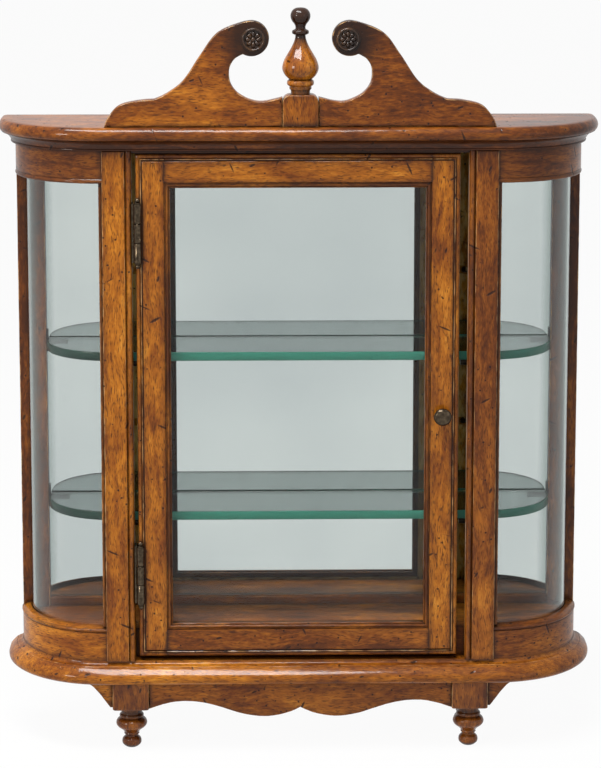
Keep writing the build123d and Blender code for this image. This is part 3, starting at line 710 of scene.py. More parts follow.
@dataclass(frozen=True)
class GlazedMaple:
    """Maple, stained honey to russet, dark-glazed, distressed by hand and lacquered satin."""

    name: str = "maple_stained_glazed"
    fibres: Grain | None = None   # None where each piece carries its own
    honey: Ramp = ((0.0, "#57290A"), (0.28, "#80430B"), (0.5, "#9C5A10"), (0.74, "#B87018"), (1.0, "#CE8A2C"))
    russet: Ramp = ((0.0, "#341706"), (0.28, "#5A2B0A"), (0.5, "#78400F"), (0.74, "#915215"), (1.0, "#AE6B20"))
    tone: float = 0.0             # added to the tone that a piece carries
    level: float = 0.0            # added to the level that a piece carries
    glaze_colour: str = "#211007"
    fleck_colour: str = "#3E1E0A"
    # pale arrises: rubbed wood and, in part, a painted highlight where lamps catch the edges
    rubbed_colour: str = "#C79C66"
    rubbed: float = 0.6           # how pale the arrises show: rubbed through in part, and in part a painted highlight
    distress: float = 1.0         # share of the usual holes and dents
    lacquer: float = 0.36         # weight of the clear lacquer
    cloud_mm: tuple[float, float] = (86.0, 46.0)      # patches where the stain took unevenly
    figure_mm: tuple[float, float] = (40.0, 7.5)      # soft figure along the fibres
    mottle_mm: tuple[float, float] = (8.0, 2.8)
    fleck_mm: tuple[float, float] = (6.0, 0.85)       # pores are finer, drawn coarse enough to show
    hole_mm: float = 7.5          # spacing of worm holes inside a cluster
    crevice_mm: float = 6.0       # reach of the darkening in corners and between parts: partly glaze left there, partly painted shade
    burn_mm: float = 6.0          # reach of the darkening beside an arris
    bend_mm: float = 60.0         # spacing of the slow bends of the fibres
    bend_reach_mm: tuple[float, float, float] = (0, 12, 5)
    patch_mm: tuple[float, float] = (34.0, 14.0)      # patches where the arrises took more glaze
    break_mm: tuple[float, float] = (14.0, 5.0)       # breaks in the rubbed lines
    cluster_mm: tuple[float, float] = (48.0, 30.0)    # clusters of worm holes
    wave_mm: tuple[float, float] = (34.0, 18.0)       # waves of the lacquer
    scratch_mm: tuple[float, float, float] = (170.0, 6.0, 20.0)
    # dents: their spacing in millimetres, their turn in degrees, and the share of the cells with one
    dents: tuple[tuple[tuple[float, float, float], float, float], ...] = (
        ((58.0, 9.0, 18.0), 66, 0.42), ((48.0, 10.0, 18.0), -62, 0.38), ((26.0, 9.0, 14.0), -20, 0.34))

    def coordinates(self, tree: Tree) -> Socket:
        """Measures along and across the fibres, and in depth.

        Args:
            tree: Node tree.

        Returns:
            Socket with the three lengths in millimetres.
        """
        if self.fibres is None:
            return add_node(tree, "ShaderNodeAttribute", {"attribute_name": GRAIN}).outputs["Vector"]
        place = add_node(tree, "ShaderNodeTexCoord").outputs["Object"]
        turn = (0, 0, 0) if self.fibres is Grain.ALONG_X else (0, math.pi / 2, 0)
        return add_node(tree, "ShaderNodeMapping",
                        {"Rotation": turn, "Scale": (1 / MM, 1 / MM, 1 / MM)},
                        {"Vector": place}).outputs["Vector"]

    def cloud(self, tree: Tree, place: Socket, size: tuple[float, float],
              detail: float = 2.0, distortion: float = 0.0) -> Node:
        """Noise stretched along the fibres.

        Args:
            tree: Node tree.
            place: Coordinates in millimetres.
            size: Size along and across the fibres, in millimetres.
            detail: How many finer sizes are mixed in.
            distortion: How far the patches are pulled out of shape.

        Returns:
            The noise node.
        """
        scaled = add_node(tree, "ShaderNodeMapping",
                          {"Scale": (1 / size[0], 1 / size[1], 1 / size[1])}, {"Vector": place})
        return add_node(tree, "ShaderNodeTexNoise",
                        {"Scale": 1.0, "Detail": detail, "Roughness": 0.6, "Distortion": distortion},
                        {"Vector": scaled.outputs["Vector"]})

    def sum_of(self, tree: Tree, start: float,
               parts: Sequence[tuple[Socket, float]]) -> Socket:
        """Adds weighted parts to a start value.

        Args:
            tree: Node tree.
            start: The sum where every part is at its middle, a half.
            parts: Sockets and their weights.

        Returns:
            Socket with the sum.
        """
        total = None
        for socket, weight in parts:
            node = add_node(tree, "ShaderNodeMath", {"operation": "MULTIPLY_ADD", 1: weight}, {0: socket})
            if total is None:
                node.inputs[2].default_value = start - sum(w for _, w in parts) / 2
            else:
                tree.links.new(total, node.inputs[2])
            total = node.outputs["Value"]
        return total

    def marks(self, tree: Tree, place: Socket, size: tuple[float, float, float],
              angle: float, filled: float, edge: tuple[float, float]) -> Socket:
        """Scattered dents: 1 inside a mark and 0 outside.

        Args:
            tree: Node tree.
            place: Coordinates in millimetres.
            size: Spacing of the marks along, across and through.
            angle: Turn of the marks from the fibres.
            filled: Share of the cells that hold a mark.
            edge: Distances, in cells, over which a mark fades out.

        Returns:
            Socket with the mask.
        """
        turned = add_node(tree, "ShaderNodeMapping", {"Rotation": (0, 0, angle)}, {"Vector": place})
        scaled = add_node(tree, "ShaderNodeMapping", {"Scale": tuple(1 / s for s in size)},
                          {"Vector": turned.outputs["Vector"]})
        cells = add_node(tree, "ShaderNodeTexVoronoi", {"Scale": 1.0}, {"Vector": scaled.outputs["Vector"]})
        inside = add_node(tree, "ShaderNodeMapRange", between(*edge, 1.0, 0.0),
                          {"Value": cells.outputs["Distance"]})
        parts = add_node(tree, "ShaderNodeSeparateColor", {}, {"Color": cells.outputs["Color"]})
        chosen = add_node(tree, "ShaderNodeMath", {"operation": "LESS_THAN", 1: filled},
                          {0: parts.outputs["Red"]})
        return joined(tree, Join.PRODUCT, inside.outputs["Result"], chosen.outputs["Value"])

    def stained(self, tree: Tree, straight: Socket,
                wandering: Socket) -> Socket:
        """Colours the stained wood, before any glaze.

        Args:
            tree: Node tree.
            straight: Coordinates along straight fibres.
            wandering: Coordinates along fibres that wander a little.

        Returns:
            Socket with the colour.
        """
        clouds = self.cloud(tree, straight, self.cloud_mm, 2.0, 0.4)
        figure = self.cloud(tree, wandering, self.figure_mm, 3.0, 0.5)
        fine = self.cloud(tree, wandering, self.mottle_mm)
        taken = add_node(tree, "ShaderNodeSeparateXYZ", {}, {
            "Vector": add_node(tree, "ShaderNodeAttribute", {"attribute_name": STAIN}).outputs["Vector"]})
        patches = add_node(tree, "ShaderNodeSeparateColor", {}, {"Color": clouds.outputs["Color"]})
        tone = self.sum_of(tree, self.tone, [(patches.outputs["Blue"], 1.1)])
        tone = add_node(tree, "ShaderNodeMath", {"operation": "ADD", "use_clamp": True},
                        {0: tone, 1: taken.outputs["X"]}).outputs["Value"]
        level = self.sum_of(tree, 0.5 + self.level, [
            (clouds.outputs["Fac"], 1.35), (figure.outputs["Fac"], 1.0), (fine.outputs["Fac"], 0.75)])
        level = add_node(tree, "ShaderNodeMath", {"operation": "ADD", "use_clamp": True},
                         {0: level, 1: taken.outputs["Y"]}).outputs["Value"]
        light, deep = (add_node(tree, "ShaderNodeValToRGB", {"stops": stops}, {"Fac": level}).outputs["Color"]
                       for stops in (self.honey, self.russet))
        return add_node(tree, "ShaderNodeMix", {"data_type": "RGBA"},
                        {0: tone, MIX_A: light, MIX_B: deep}).outputs[MIX_RESULT]

    def make(self) -> Material:
        """Builds the material.

        Returns:
            The material.
        """
        material, tree = new_material(self.name)
        straight = self.coordinates(tree)
        bend = add_node(tree, "ShaderNodeTexNoise", {"Scale": 1 / self.bend_mm, "Detail": 1.0},
                        {"Vector": straight})
        off = add_node(tree, "ShaderNodeVectorMath",
                       {"operation": "MULTIPLY_ADD", 1: self.bend_reach_mm,
                        2: tuple(-reach / 2 for reach in self.bend_reach_mm)},
                       {0: bend.outputs["Color"]})
        wandering = add_node(tree, "ShaderNodeVectorMath", {"operation": "ADD"},
                             {0: straight, 1: off.outputs["Vector"]}).outputs["Vector"]
        colour = self.stained(tree, straight, wandering)

        # open pores hold dark glaze and read as short flecks along the fibres
        pores = self.cloud(tree, wandering, self.fleck_mm, 1.0).outputs["Fac"]
        flecks = add_node(tree, "ShaderNodeMapRange", between(0.53, 0.68, 0.0, 0.75), {"Value": pores})
        colour = add_node(tree, "ShaderNodeMix", paint(self.fleck_colour),
                          {0: flecks.outputs["Result"], MIX_A: colour}).outputs[MIX_RESULT]

        # glaze darkens a face towards its arrises and lies thick in corners; the darkening in corners and
        # between parts is partly painted shade
        patchy = self.cloud(tree, straight, self.patch_mm).outputs["Fac"]
        inner = add_node(tree, "ShaderNodeAmbientOcclusion",
                         {"samples": 4, "inside": True, "Distance": self.burn_mm * MM}).outputs["AO"]
        burn = joined(tree, Join.PRODUCT, *(
            add_node(tree, "ShaderNodeMapRange", between(*limits), {"Value": value}).outputs["Result"]
            for value, limits in ((inner, (0.5, 0.98, 0.9, 0.0)), (patchy, (0.3, 0.7, 0.4, 1.0)))))
        colour = add_node(tree, "ShaderNodeMix", paint(self.fleck_colour),
                          {0: burn, MIX_A: colour}).outputs[MIX_RESULT]
        # painted shade: ambient occlusion darkens corners and narrow gaps between parts, on top of the glaze
        # there
        outer = add_node(tree, "ShaderNodeAmbientOcclusion",
                         {"samples": 4, "Distance": self.crevice_mm * MM}).outputs["AO"]
        left = add_node(tree, "ShaderNodeAttribute", {"attribute_name": GLAZE}).outputs["Fac"]
        glaze_and_shade_in_crevices = add_node(tree, "ShaderNodeMapRange", between(0.4, 0.9, 0.86, 0.0), {"Value": outer})
        glaze = joined(tree, Join.LARGEST, glaze_and_shade_in_crevices.outputs["Result"], left)
        colour = add_node(tree, "ShaderNodeMix", paint(self.glaze_colour),
                          {0: glaze, MIX_A: colour}).outputs[MIX_RESULT]

        # arrises were rubbed through to pale wood in broken lines; in part the pale lines are a painted
        # highlight
        rubbed = add_node(tree, "ShaderNodeAttribute", {"attribute_name": WEAR}).outputs["Fac"]
        broken = self.cloud(tree, straight, self.break_mm, 3.0).outputs["Fac"]
        worn_and_highlight = add_node(tree, "ShaderNodeMapRange", between(0.36, 0.6, 0.0, self.rubbed),
                        {"Value": joined(tree, Join.PRODUCT, rubbed, broken)})
        colour = add_node(tree, "ShaderNodeMix", paint(self.rubbed_colour),
                          {0: worn_and_highlight.outputs["Result"], MIX_A: colour}).outputs[MIX_RESULT]

        # worm holes in clusters, short dents and a few long scratches, all filled with dark glaze
        cluster = self.cloud(tree, straight, self.cluster_mm, 1.0).outputs["Fac"]
        holes = self.marks(tree, straight, (self.hole_mm,) * 3, 0.0, 0.85 * self.distress, (0.09, 0.16))
        clustered = add_node(tree, "ShaderNodeMapRange", between(0.45, 0.49), {"Value": cluster})
        holes = joined(tree, Join.PRODUCT, holes, clustered.outputs["Result"])
        dents = joined(tree, Join.LARGEST, *(
            self.marks(tree, wandering, size, math.radians(turn), filled * self.distress, (0.07, 0.15))
            for size, turn, filled in self.dents))
        scratches = self.marks(tree, wandering, self.scratch_mm, math.radians(74), 0.08 * self.distress,
                               (0.06, 0.11))
        faint = add_node(tree, "ShaderNodeMapRange", between(0.0, 1.0, 0.0, 0.6), {"Value": scratches})
        dark = joined(tree, Join.LARGEST, holes, dents, faint.outputs["Result"])
        shown = add_node(tree, "ShaderNodeMapRange", between(0.0, 1.0, 0.0, 0.86), {"Value": dark})
        colour = add_node(tree, "ShaderNodeMix", paint(self.glaze_colour),
                          {0: shown.outputs["Result"], MIX_A: colour}).outputs[MIX_RESULT]

        # clear lacquer over a stain with hardly any gloss; it follows the dents and the grain a little
        rough = add_node(tree, "ShaderNodeMapRange", between(0.0, 1.0, 0.42, 0.6),
                         {"Value": joined(tree, Join.LARGEST, glaze, dark)}).outputs["Result"]
        waves = self.cloud(tree, straight, self.wave_mm, 1.0).outputs["Fac"]
        relief = self.sum_of(tree, 0.0, [(pores, -0.18), (waves, 1.0), (dark, -1.8)])
        bump, film = (add_node(tree, "ShaderNodeBump", {"Strength": strength, "Distance": 0.5 * MM},
                               {"Height": relief}).outputs["Normal"] for strength in (0.6, 0.25))
        shader = add_node(tree, "ShaderNodeBsdfPrincipled",
                          {"IOR": 1.5, "Specular IOR Level": 0.06, "Coat Weight": self.lacquer,
                           "Coat Roughness": 0.07, "Coat IOR": 1.5},
                          {"Base Color": colour, "Roughness": rough, "Normal": bump, "Coat Normal": film})
        add_node(tree, "ShaderNodeOutputMaterial", {}, {"Surface": shader.outputs["BSDF"]})
        return material


@dataclass(frozen=True)
class DrawnGlass:
    """Soda-lime glass, drawn and polished; lamps shine through it, so what is behind stays lit."""

    name: str
    tint: str = "#FFFFFF"
    ior: float = 1.52
    roughness: float = 0.0
    clear: float = 1.0            # the rest scatters, as a seamed edge does
    sheen: float = 0.3            # share of the front-on reflection, low so that pale walls don't veil
    passing: str = "#EAF2EF"      # what a pane passes to lamps' rays
    deep: str = ""                # tint painted where the glaze attribute is high: painted shade where the sheet is seen a long way through

    def make(self) -> Material:
        """Builds the material.

        Returns:
            The material.
        """
        material, tree = new_material(self.name)
        links = {}
        # painted shade: the tint darkens towards the deep colour where the mesh's glaze attribute is high
        if self.deep:
            length = add_node(tree, "ShaderNodeAttribute", {"attribute_name": GLAZE}).outputs["Fac"]
            links["Base Color"] = add_node(tree, "ShaderNodeMix", {
                "data_type": "RGBA", MIX_A: linear(self.tint), MIX_B: linear(self.deep)},
                {0: length}).outputs[MIX_RESULT]
        shader = add_node(tree, "ShaderNodeBsdfPrincipled",
                          {"Base Color": linear(self.tint), "IOR": self.ior, "Roughness": self.roughness,
                           "Transmission Weight": self.clear,
                           "Specular Tint": (self.sheen, self.sheen, self.sheen, 1.0)}, links)
        clear = add_node(tree, "ShaderNodeBsdfTransparent", {"Color": linear(self.passing)})
        path = add_node(tree, "ShaderNodeLightPath")
        mix = add_node(tree, "ShaderNodeMixShader", {},
                       {0: path.outputs["Is Shadow Ray"], 1: shader.outputs["BSDF"], 2: clear.outputs["BSDF"]})
        add_node(tree, "ShaderNodeOutputMaterial", {}, {"Surface": mix.outputs["Shader"]})
        return material


@dataclass(frozen=True)
class PlatedMetal:
    """Metal with a worked surface: painted shade in its hollows and joints, brighter where hands rub it."""

    name: str
    dark: str
    bright: str
    roughness: float
    grit_mm: float = 1.2          # unevenness of the plating, drawn coarse enough to show
    hollow_mm: float = 2.5        # reach of the painted shade in joints and corners

    def make(self) -> Material:
        """Builds the material.

        Returns:
            The material.
        """
        material, tree = new_material(self.name)
        grit, colour = mottle(tree, self.grit_mm, 3.0, (0.38, self.dark), (0.68, self.bright))
        # painted shade: darker where ambient occlusion finds joints and hollows, such as the gaps between
        # knuckles
        occlusion_shade = add_node(tree, "ShaderNodeAmbientOcclusion",
                          {"samples": 4, "Distance": self.hollow_mm * MM}).outputs["AO"]
        shade = add_node(tree, "ShaderNodeMapRange", between(0.35, 0.9, 0.9, 0.0), {"Value": occlusion_shade})
        colour = add_node(tree, "ShaderNodeMix", paint("#120E0A"),
                          {0: shade.outputs["Result"], MIX_A: colour}).outputs[MIX_RESULT]
        rough = add_node(tree, "ShaderNodeMapRange",
                         {"To Min": self.roughness - 0.06, "To Max": self.roughness + 0.08},
                         {"Value": grit}).outputs["Result"]
        bump = add_node(tree, "ShaderNodeBump", {"Strength": 0.1, "Distance": 0.1 * MM},
                        {"Height": grit}).outputs["Normal"]
        shader = add_node(tree, "ShaderNodeBsdfPrincipled", {"Metallic": 1.0},
                          {"Base Color": colour, "Roughness": rough, "Normal": bump})
        add_node(tree, "ShaderNodeOutputMaterial", {}, {"Surface": shader.outputs["BSDF"]})
        return material


@dataclass(frozen=True)
class Silvering:
    """Silvered plate glass, a shade cool: its reflection is painted a soft grey and mottled with a faint haze,
    painted shade over what it reflects.
    """

    name: str = "mirror_silvered"
    # painted shade: the mirror is dimmed to grey between these two colours, as if it showed a grey room
    dark: str = "#B8C1C0"
    light: str = "#CAD2CF"
    haze_mm: float = 260.0
    roughness: float = 0.015

    def make(self) -> Material:
        """Builds the material.

        Returns:
            The material.
        """
        material, tree = new_material(self.name)
        # painted shade: the reflection is dimmed and mottled in soft clouds
        _, colour = mottle(tree, self.haze_mm, 2.0, (0.32, self.dark), (0.68, self.light))
        shader = add_node(tree, "ShaderNodeBsdfPrincipled",
                          {"Metallic": 1.0, "Roughness": self.roughness}, {"Base Color": colour})
        add_node(tree, "ShaderNodeOutputMaterial", {}, {"Surface": shader.outputs["BSDF"]})
        return material


@dataclass(frozen=True)
class PressedBoard:
    """Hardboard or moulded plastic: a dull surface mottled by its fibres or filler."""

    name: str
    dark: str
    light: str
    fleck_mm: float
    roughness: float

    def make(self) -> Material:
        """Builds the material.

        Returns:
            The material.
        """
        material, tree = new_material(self.name)
        fleck, colour = mottle(tree, self.fleck_mm, 5.0, (0.35, self.dark), (0.65, self.light), 0.7)
        bump = add_node(tree, "ShaderNodeBump", {"Strength": 0.3, "Distance": 0.2 * MM},
                        {"Height": fleck}).outputs["Normal"]
        shader = add_node(tree, "ShaderNodeBsdfPrincipled", {"Roughness": self.roughness},
                          {"Base Color": colour, "Normal": bump})
        add_node(tree, "ShaderNodeOutputMaterial", {}, {"Surface": shader.outputs["BSDF"]})
        return material


def made(recipe: GlazedMaple | DrawnGlass | PlatedMetal | Silvering | PressedBoard) -> Material:
    """Field that holds the material of a recipe."""
    return field(default_factory=recipe.make)


INKY: Ramp = ((0.2, "#1C0F08"), (0.5, "#2E1C10"), (0.8, "#4A3018"))


@dataclass
class Finishes:
    """Every finish of the case, made once."""

    wood: Material = made(GlazedMaple())
    wood_level: Material = made(GlazedMaple("maple_level", Grain.ALONG_X, tone=0.6, level=-0.22, distress=0.3,
                                            lacquer=0.06))
    wood_upright: Material = made(GlazedMaple("maple_upright", Grain.ALONG_Z, tone=0.5, level=-0.2,
                                              distress=0.3, lacquer=0.06))
    wood_turned: Material = made(GlazedMaple("maple_turned_glazed", distress=0.4, lacquer=0.5, burn_mm=0.6))
    carving: Material = made(GlazedMaple(
        "maple_carved_dark", honey=INKY, russet=INKY, glaze_colour="#0C0604", fleck_colour="#160B06",
        rubbed_colour="#7A5A3C", distress=0.0, lacquer=0.6, crevice_mm=1.8, burn_mm=0.5))
    glass: Material = made(DrawnGlass("glass_pane_drawn", deep="#A3B3AE"))
    shelf_glass: Material = made(DrawnGlass("glass_shelf_polished", tint="#8E9A98", sheen=0.15,
                                            passing="#B4CDC6"))
    # its deep colour is painted shade at the ends of the shelves
    shelf_edge: Material = made(DrawnGlass("glass_shelf_edge", tint="#266353", roughness=0.3, clear=0.1,
                                           passing="#7FB5A6", deep="#12251F"))
    mirror: Material = made(Silvering())
    bronze: Material = made(PlatedMetal("brass_bronzed", "#3C3329", "#5E5242", 0.2, 2.4))
    blackened: Material = made(PlatedMetal("brass_blackened", "#15120F", "#28221B", 0.38, 2.4))
    steel: Material = made(PlatedMetal("steel_zinc_plated", "#8C8A84", "#B5B3AC", 0.3))
    hardboard: Material = made(PressedBoard("hardboard_pressed", "#4F3422", "#6E4D33", 1.5, 0.75))
    plastic: Material = made(PressedBoard("abs_moulded", "#2A1A10", "#33210F", 0.8, 0.45))


@dataclass
class Assembly:
    """What every sub-assembly has: its finishes, and the body that it rides on."""

    finishes: Finishes
    body: ClassVar[Body] = Body.CABINET

    def in_wood(self, draft: Draft, node: str, cutters: Sequence[Object] = (), turned: bool = False) -> None:
        """Finishes a draft in stained and glazed maple.

        Args:
            draft: The drawn piece.
            node: Frame node that it replaces.
            cutters: Tools whose volume is taken out of it.
            turned: Whether it came from a lathe.
        """
        wood = self.finishes.wood_turned if turned else self.finishes.wood
        draft.finish(self.body, Slot.HONEY_WOOD, [wood], node, cutters)

    def in_bronze(self, draft: Draft, node: str) -> None:
        """Finishes a draft in bronzed brass, in the place of a node."""
        draft.finish(self.body, Slot.BRONZED_METAL, [self.finishes.bronze], node)


# ---------------------------------------------------------------- the case

@dataclass
class Plan:
    """Plan of the case in millimetres: the bow ends and the back, read from the frame."""

    arc_x: float = field(default_factory=lambda: node_box("upper_rail_right")[0].x)
    arc_y: float = field(default_factory=lambda: node_box("upper_rail_right")[1].y)
    back_y: float = field(default_factory=lambda: node_box("back_panel")[1].y)
    rail_radius: float = 84.0
    arc_cuts: int = 34

    def stations(self) -> list[tuple[Vector, Vector]]:
        """Places of a moulding's sections round the case, from left to right.

        Returns:
            Origin and outward direction of each section.
        """
        sides = steps(self.back_y, self.arc_y)
        found = [(Vector((-self.arc_x, y, 0)), Vector((-1, 0, 0))) for y in sides[:-1]]
        angles = quarter(self.arc_cuts)
        found += [(Vector((-self.arc_x, self.arc_y, 0)), Vector((-math.cos(a), -math.sin(a), 0)))
                  for a in angles]
        front = steps(-self.arc_x, self.arc_x)[1:-1]
        found += [(Vector((x, self.arc_y, 0)), Vector((0, -1, 0))) for x in front]
        found += [(Vector((self.arc_x, self.arc_y, 0)), Vector((math.cos(a), -math.sin(a), 0)))
                  for a in reversed(angles)]
        found += [(Vector((self.arc_x, y, 0)), Vector((1, 0, 0))) for y in reversed(sides[:-1])]
        return found


@dataclass
class Carcase(Assembly):
    """Base, cornice and top boards, posts, curved rails, floor and back."""

    plan: Plan = field(default_factory=Plan)
    quirk: float = 6.2            # bead and quirk along a post's inner edge
    edge_inset: float = 16.0      # where a moulded edge meets the flat of its board
    lip_reach: float = 152.9      # half the length of the lip over the door
    pane: float = 3.0             # thickness of the bent glass
    glass_play: float = 0.15      # gap between the glass and the wood that holds it
    pin_radius: float = 3.2
    pin_depth: float = 8.0
    pin_inset: float = 9.8        # from a post's inner face to its holes
    pin_drop: float = 2.8         # from a shelf's underside to the middle of its pins
    pin_rise: float = 60.0        # from a pin to the spare hole over it

    def d_board(self, name: str, edge: Sequence[SectionPoint], stain: Stain,
                bars: Sequence[tuple[Vector, Vector]] = ()) -> None:
        """Board with a flat back, bow ends and a moulded edge.

        Args:
            name: Name of the board and of its node.
            edge: Radius, height and wear of the edge, from its top to its underside.
            stain: How it took its stain.
            bars: Lowest and highest corners of square lips left on it.
        """
        draft = Draft(name + "_maple", Grain.ALONG_X, 0.4, stain)
        rings = draft.sweep([[(origin + out * u + Vector((0, 0, z)), wear) for u, z, wear in edge]
                             for origin, out in self.plan.stations()], caps=False, closed=False)
        draft.cap([ring[0] for ring in rings])
        draft.cap([ring[-1] for ring in rings])
        draft.cap([*rings[0], *reversed(rings[-1])])
        for low, high in bars:
            square = ((low.y, low.z), (high.y, low.z), (high.y, high.z), (low.y, high.z))
            draft.sweep([[(Vector((x, y, z)), 0.0) for y, z in square] for x in steps(low.x, high.x)])
        self.in_wood(draft, name)

    def base(self) -> None:
        """Base with a small cove under the case, a crest and a large round nose."""
        low, high = node_box("base_board")
        under = low.z - high.z
        edge = [(-self.edge_inset, 0.0, 0.0), (0.0, 0.0, 0.0)]
        edge += wearing(through([(0.4, -0.2), (0.9, -1.9), (2.3, -3.3), (4.4, -4.0)], 3), 0.0)
        edge += [(5.0, -4.2, 0.9), (5.6, -4.6, 0.6), (6.0, -5.1, 0.0)]
        edge += wearing(through([(6.2, -4.9), (7.4, -5.7), (9.4, -7.6), (11.4, -9.7), (12.9, -11.6),
                                 (13.7, -13.6), (13.9, -15.6), (13.2, -18.0), (10.8, under)], 5), 0.1)
        edge += [(-self.edge_inset, under, 0.0)]
        self.d_board("base_board", shifted(edge, self.plan.rail_radius, high.z), Stain(0.25, 0.05, 0.5))

    def cornice(self) -> None:
        """Cornice board: a long cove over a small bead, and a lip over the door that hides the gap there."""
        low, high = node_box("cornice_board")
        over = high.z - low.z
        edge = [(-self.edge_inset, over, 0.0)]
        edge += wearing(through([(13.0, over), (9.8, over - 1.2), (7.0, over - 3.4), (5.0, over - 6.0),
                                 (3.8, 1.9)], 4), 0.0)
        edge += [(4.2, 1.5, 0.2), (4.4, 0.9, 0.5), (4.2, 0.3, 0.3), (3.7, 0.0, 0.1),
                 (-self.edge_inset, 0.0, 0.0)]
        door_top = node_box("door_stile_left")[1]
        front = self.plan.arc_y - self.plan.rail_radius
        lip = (Vector((-self.lip_reach, front + 1.0, door_top.z + 0.6)),
               Vector((self.lip_reach, front + 7.0, low.z + 1.0)))
        self.d_board("cornice_board", shifted(edge, self.plan.rail_radius, low.z), Stain(0.95, -0.4, 0.05),
                     [lip])

    def top(self) -> None:
        """Top board with a bull nose."""
        low, high = node_box("top_board")
        under = low.z - high.z
        nose = through([(-7.0, 0.0), (-3.6, -0.7), (-1.4, -3.2), (-0.2, -6.4), (-0.7, -9.8), (-2.6, under)], 4)
        edge = [(-26.0, 0.0, 0.0), (-8.6, 0.0, 0.0), *wearing(nose[:7], 0.3), *wearing(nose[7:], 0.1),
                (-26.0, under, 0.0)]
        self.d_board("top_board", shifted(edge, high.x - self.plan.arc_x, high.z), Stain(0.8, -0.12, 0.2))

    def upright_stain(self, side: Side) -> Stain:
        """Uprights on the left took a honey tone, those on the right a russet one; their back faces are
        painted lighter, painted light.
        """
        return (Stain(0.32, -0.04, 0.3, back=0.6, bare=1.5) if side is Side.LEFT
                else Stain(0.62, -0.03, 0.4, back=0.6, bare=1.5))

    def post(self, side: Side) -> None:
        """Front post: a flat face, a quirk, and a bead beside the door.

        Args:
            side: Side of the case.
        """
        low, high = node_box("front_post_" + side)
        inner, outer = from_middle("front_post_" + side)
        y0, y1 = low.y, high.y
        q = inner + self.quirk
        bead = through([(-1.2, 1.4), (-2.4, 0.3), (-3.9, 0.1), (-5.3, 0.9), (-self.quirk, 2.6)], 3)
        flat = rounded([(outer, y1, 0.6), (outer, y0, 1.1), (q, y0, 0.7), (q - 0.5, y0 + 1.9, 0)])
        section = flat + wearing(shifted(bead, q, y0), 0.35) + [(inner, y1, 0.0)]
        levels = [(z, 0.0) for z in steps(low.z, high.z - 2.0)]
        # painted highlight: the top end is eased back and its wear rises, so it shows pale as if the lamps
        # caught it
        levels += [(high.z - 1.1, 0.15), (high.z - 0.4, 0.6), (high.z, 1.5)]
        rings = [[(Vector((side.sign * x, max(y, y0 + back), z)), max(wear, back / 2))
                  for x, y, wear in section] for z, back in levels]
        draft = Draft("front_post_" + side + "_maple", Grain.ALONG_Z, 0.45, self.upright_stain(side))
        draft.sweep(rings)
        self.in_wood(draft, "front_post_" + side, self.pin_bores(side))

    def pin_bores(self, side: Side) -> list[Object]:
        """Makes rods that bore the spare holes for shelf pins in the back of a front post.

        Args:
            side: Side of the case.

        Returns:
            The rods, as tools.
        """
        back = node_box("front_post_" + side)[1].y
        x = side.sign * (from_middle("front_post_" + side)[0] + self.pin_inset)
        reach, radius = self.pin_depth, self.pin_radius
        bore = [(0.0, -reach), (radius, -reach), (radius, 1.0), (0.0, 1.0)]
        rods = []
        for node in ("shelf_lower", "shelf_upper"):
            pin = node_box(node)[0].z - self.pin_drop
            draft = Draft(f"pin_bore_{side}_{node}")
            draft.lathe(bore, Vector((x, back, pin + self.pin_rise)), Vector((0, 1, 0)), 32)
            rods.append(draft.tool())
        return rods

    def rear_post(self, side: Side) -> None:
        """Rear post with eased outer corners, rebated for the back panel.

        Args:
            side: Side of the case.
        """
        low, high = node_box("rear_post_" + side)
        inner, outer = from_middle("rear_post_" + side)
        panel_edge = node_box("back_panel")[1].x + 0.15
        rebate = node_box("back_panel")[0].y
        section = rounded([(inner, low.y, 0.9), (outer, low.y, 1.2), (outer, high.y, 0.9),
                           (panel_edge, high.y, 0), (panel_edge, rebate, 0), (inner, rebate, 0)])
        rings = [[(Vector((side.sign * x, y, z)), wear) for x, y, wear in section]
                 for z in steps(low.z, high.z, 6.0)]
        # painted shade: the rear posts are stained darker, standing in for the shade they show through the
        # ends of the bent panes
        draft = Draft("rear_post_" + side + "_maple", Grain.ALONG_Z, 0.35, Stain(0.7, -0.3, 0.15))
        draft.sweep(rings)
        self.in_wood(draft, "rear_post_" + side)

    def glass_strip(self, side: Side) -> None:
        """Upright strip that covers the front edge of the bent pane.

        Args:
            side: Side of the case.
        """
        low, high = node_box("glass_strip_" + side)
        section = rounded([(low.x, low.y, 0.7), (high.x, low.y, 0.9), (high.x, high.y, 0.3),
                           (low.x, high.y, 0.3)], 3, 0.5)
        rings = [[(Vector((x, y, z)), wear) for x, y, wear in section] for z in steps(low.z, high.z, 6.0)]
        draft = Draft("glass_strip_" + side + "_maple", Grain.ALONG_Z, 0.3, self.upright_stain(side))
        draft.sweep(rings)
        self.in_wood(draft, "glass_strip_" + side)

    def bow(self, name: str, side: Side, section: Sequence[SectionPoint], wear_depth: float, stain: Stain,
            glaze: Callable[[Vector], float] | None = None) -> Draft:
        """Draws a quarter ring of a section round one bow end.

        Args:
            name: Name of the piece.
            side: Side of the case.
            section: Radius, height and wear of each point.
            wear_depth: Depth of the wear.
            stain: How it took its stain.
            glaze: Gives how much dark glaze there is at a point; on glass, how much painted shade darkens its
                tint.

        Returns:
            The drawn piece.
        """
        centre = Vector((side.sign * self.plan.arc_x, self.plan.arc_y, 0))

        def fibres(spot: Vector) -> Vector:
            """Measures a point along the bend, up, and out from the centre.

            Args:
                spot: The point.

            Returns:
                The three lengths.
            """
            arm = spot - centre
            along = math.atan2(arm.y, side.sign * arm.x) * self.plan.rail_radius
            return Vector((along, spot.z, math.hypot(arm.x, arm.y)))

        draft = Draft(name, Grain.ALONG_X, wear_depth, stain, fibres, glaze)
        draft.sweep([[(centre + Vector((side.sign * math.cos(turn), -math.sin(turn), 0)) * u
                       + Vector((0, 0, z)), wear) for u, z, wear in section]
                     for turn in quarter(self.plan.arc_cuts * 2)])
        return draft

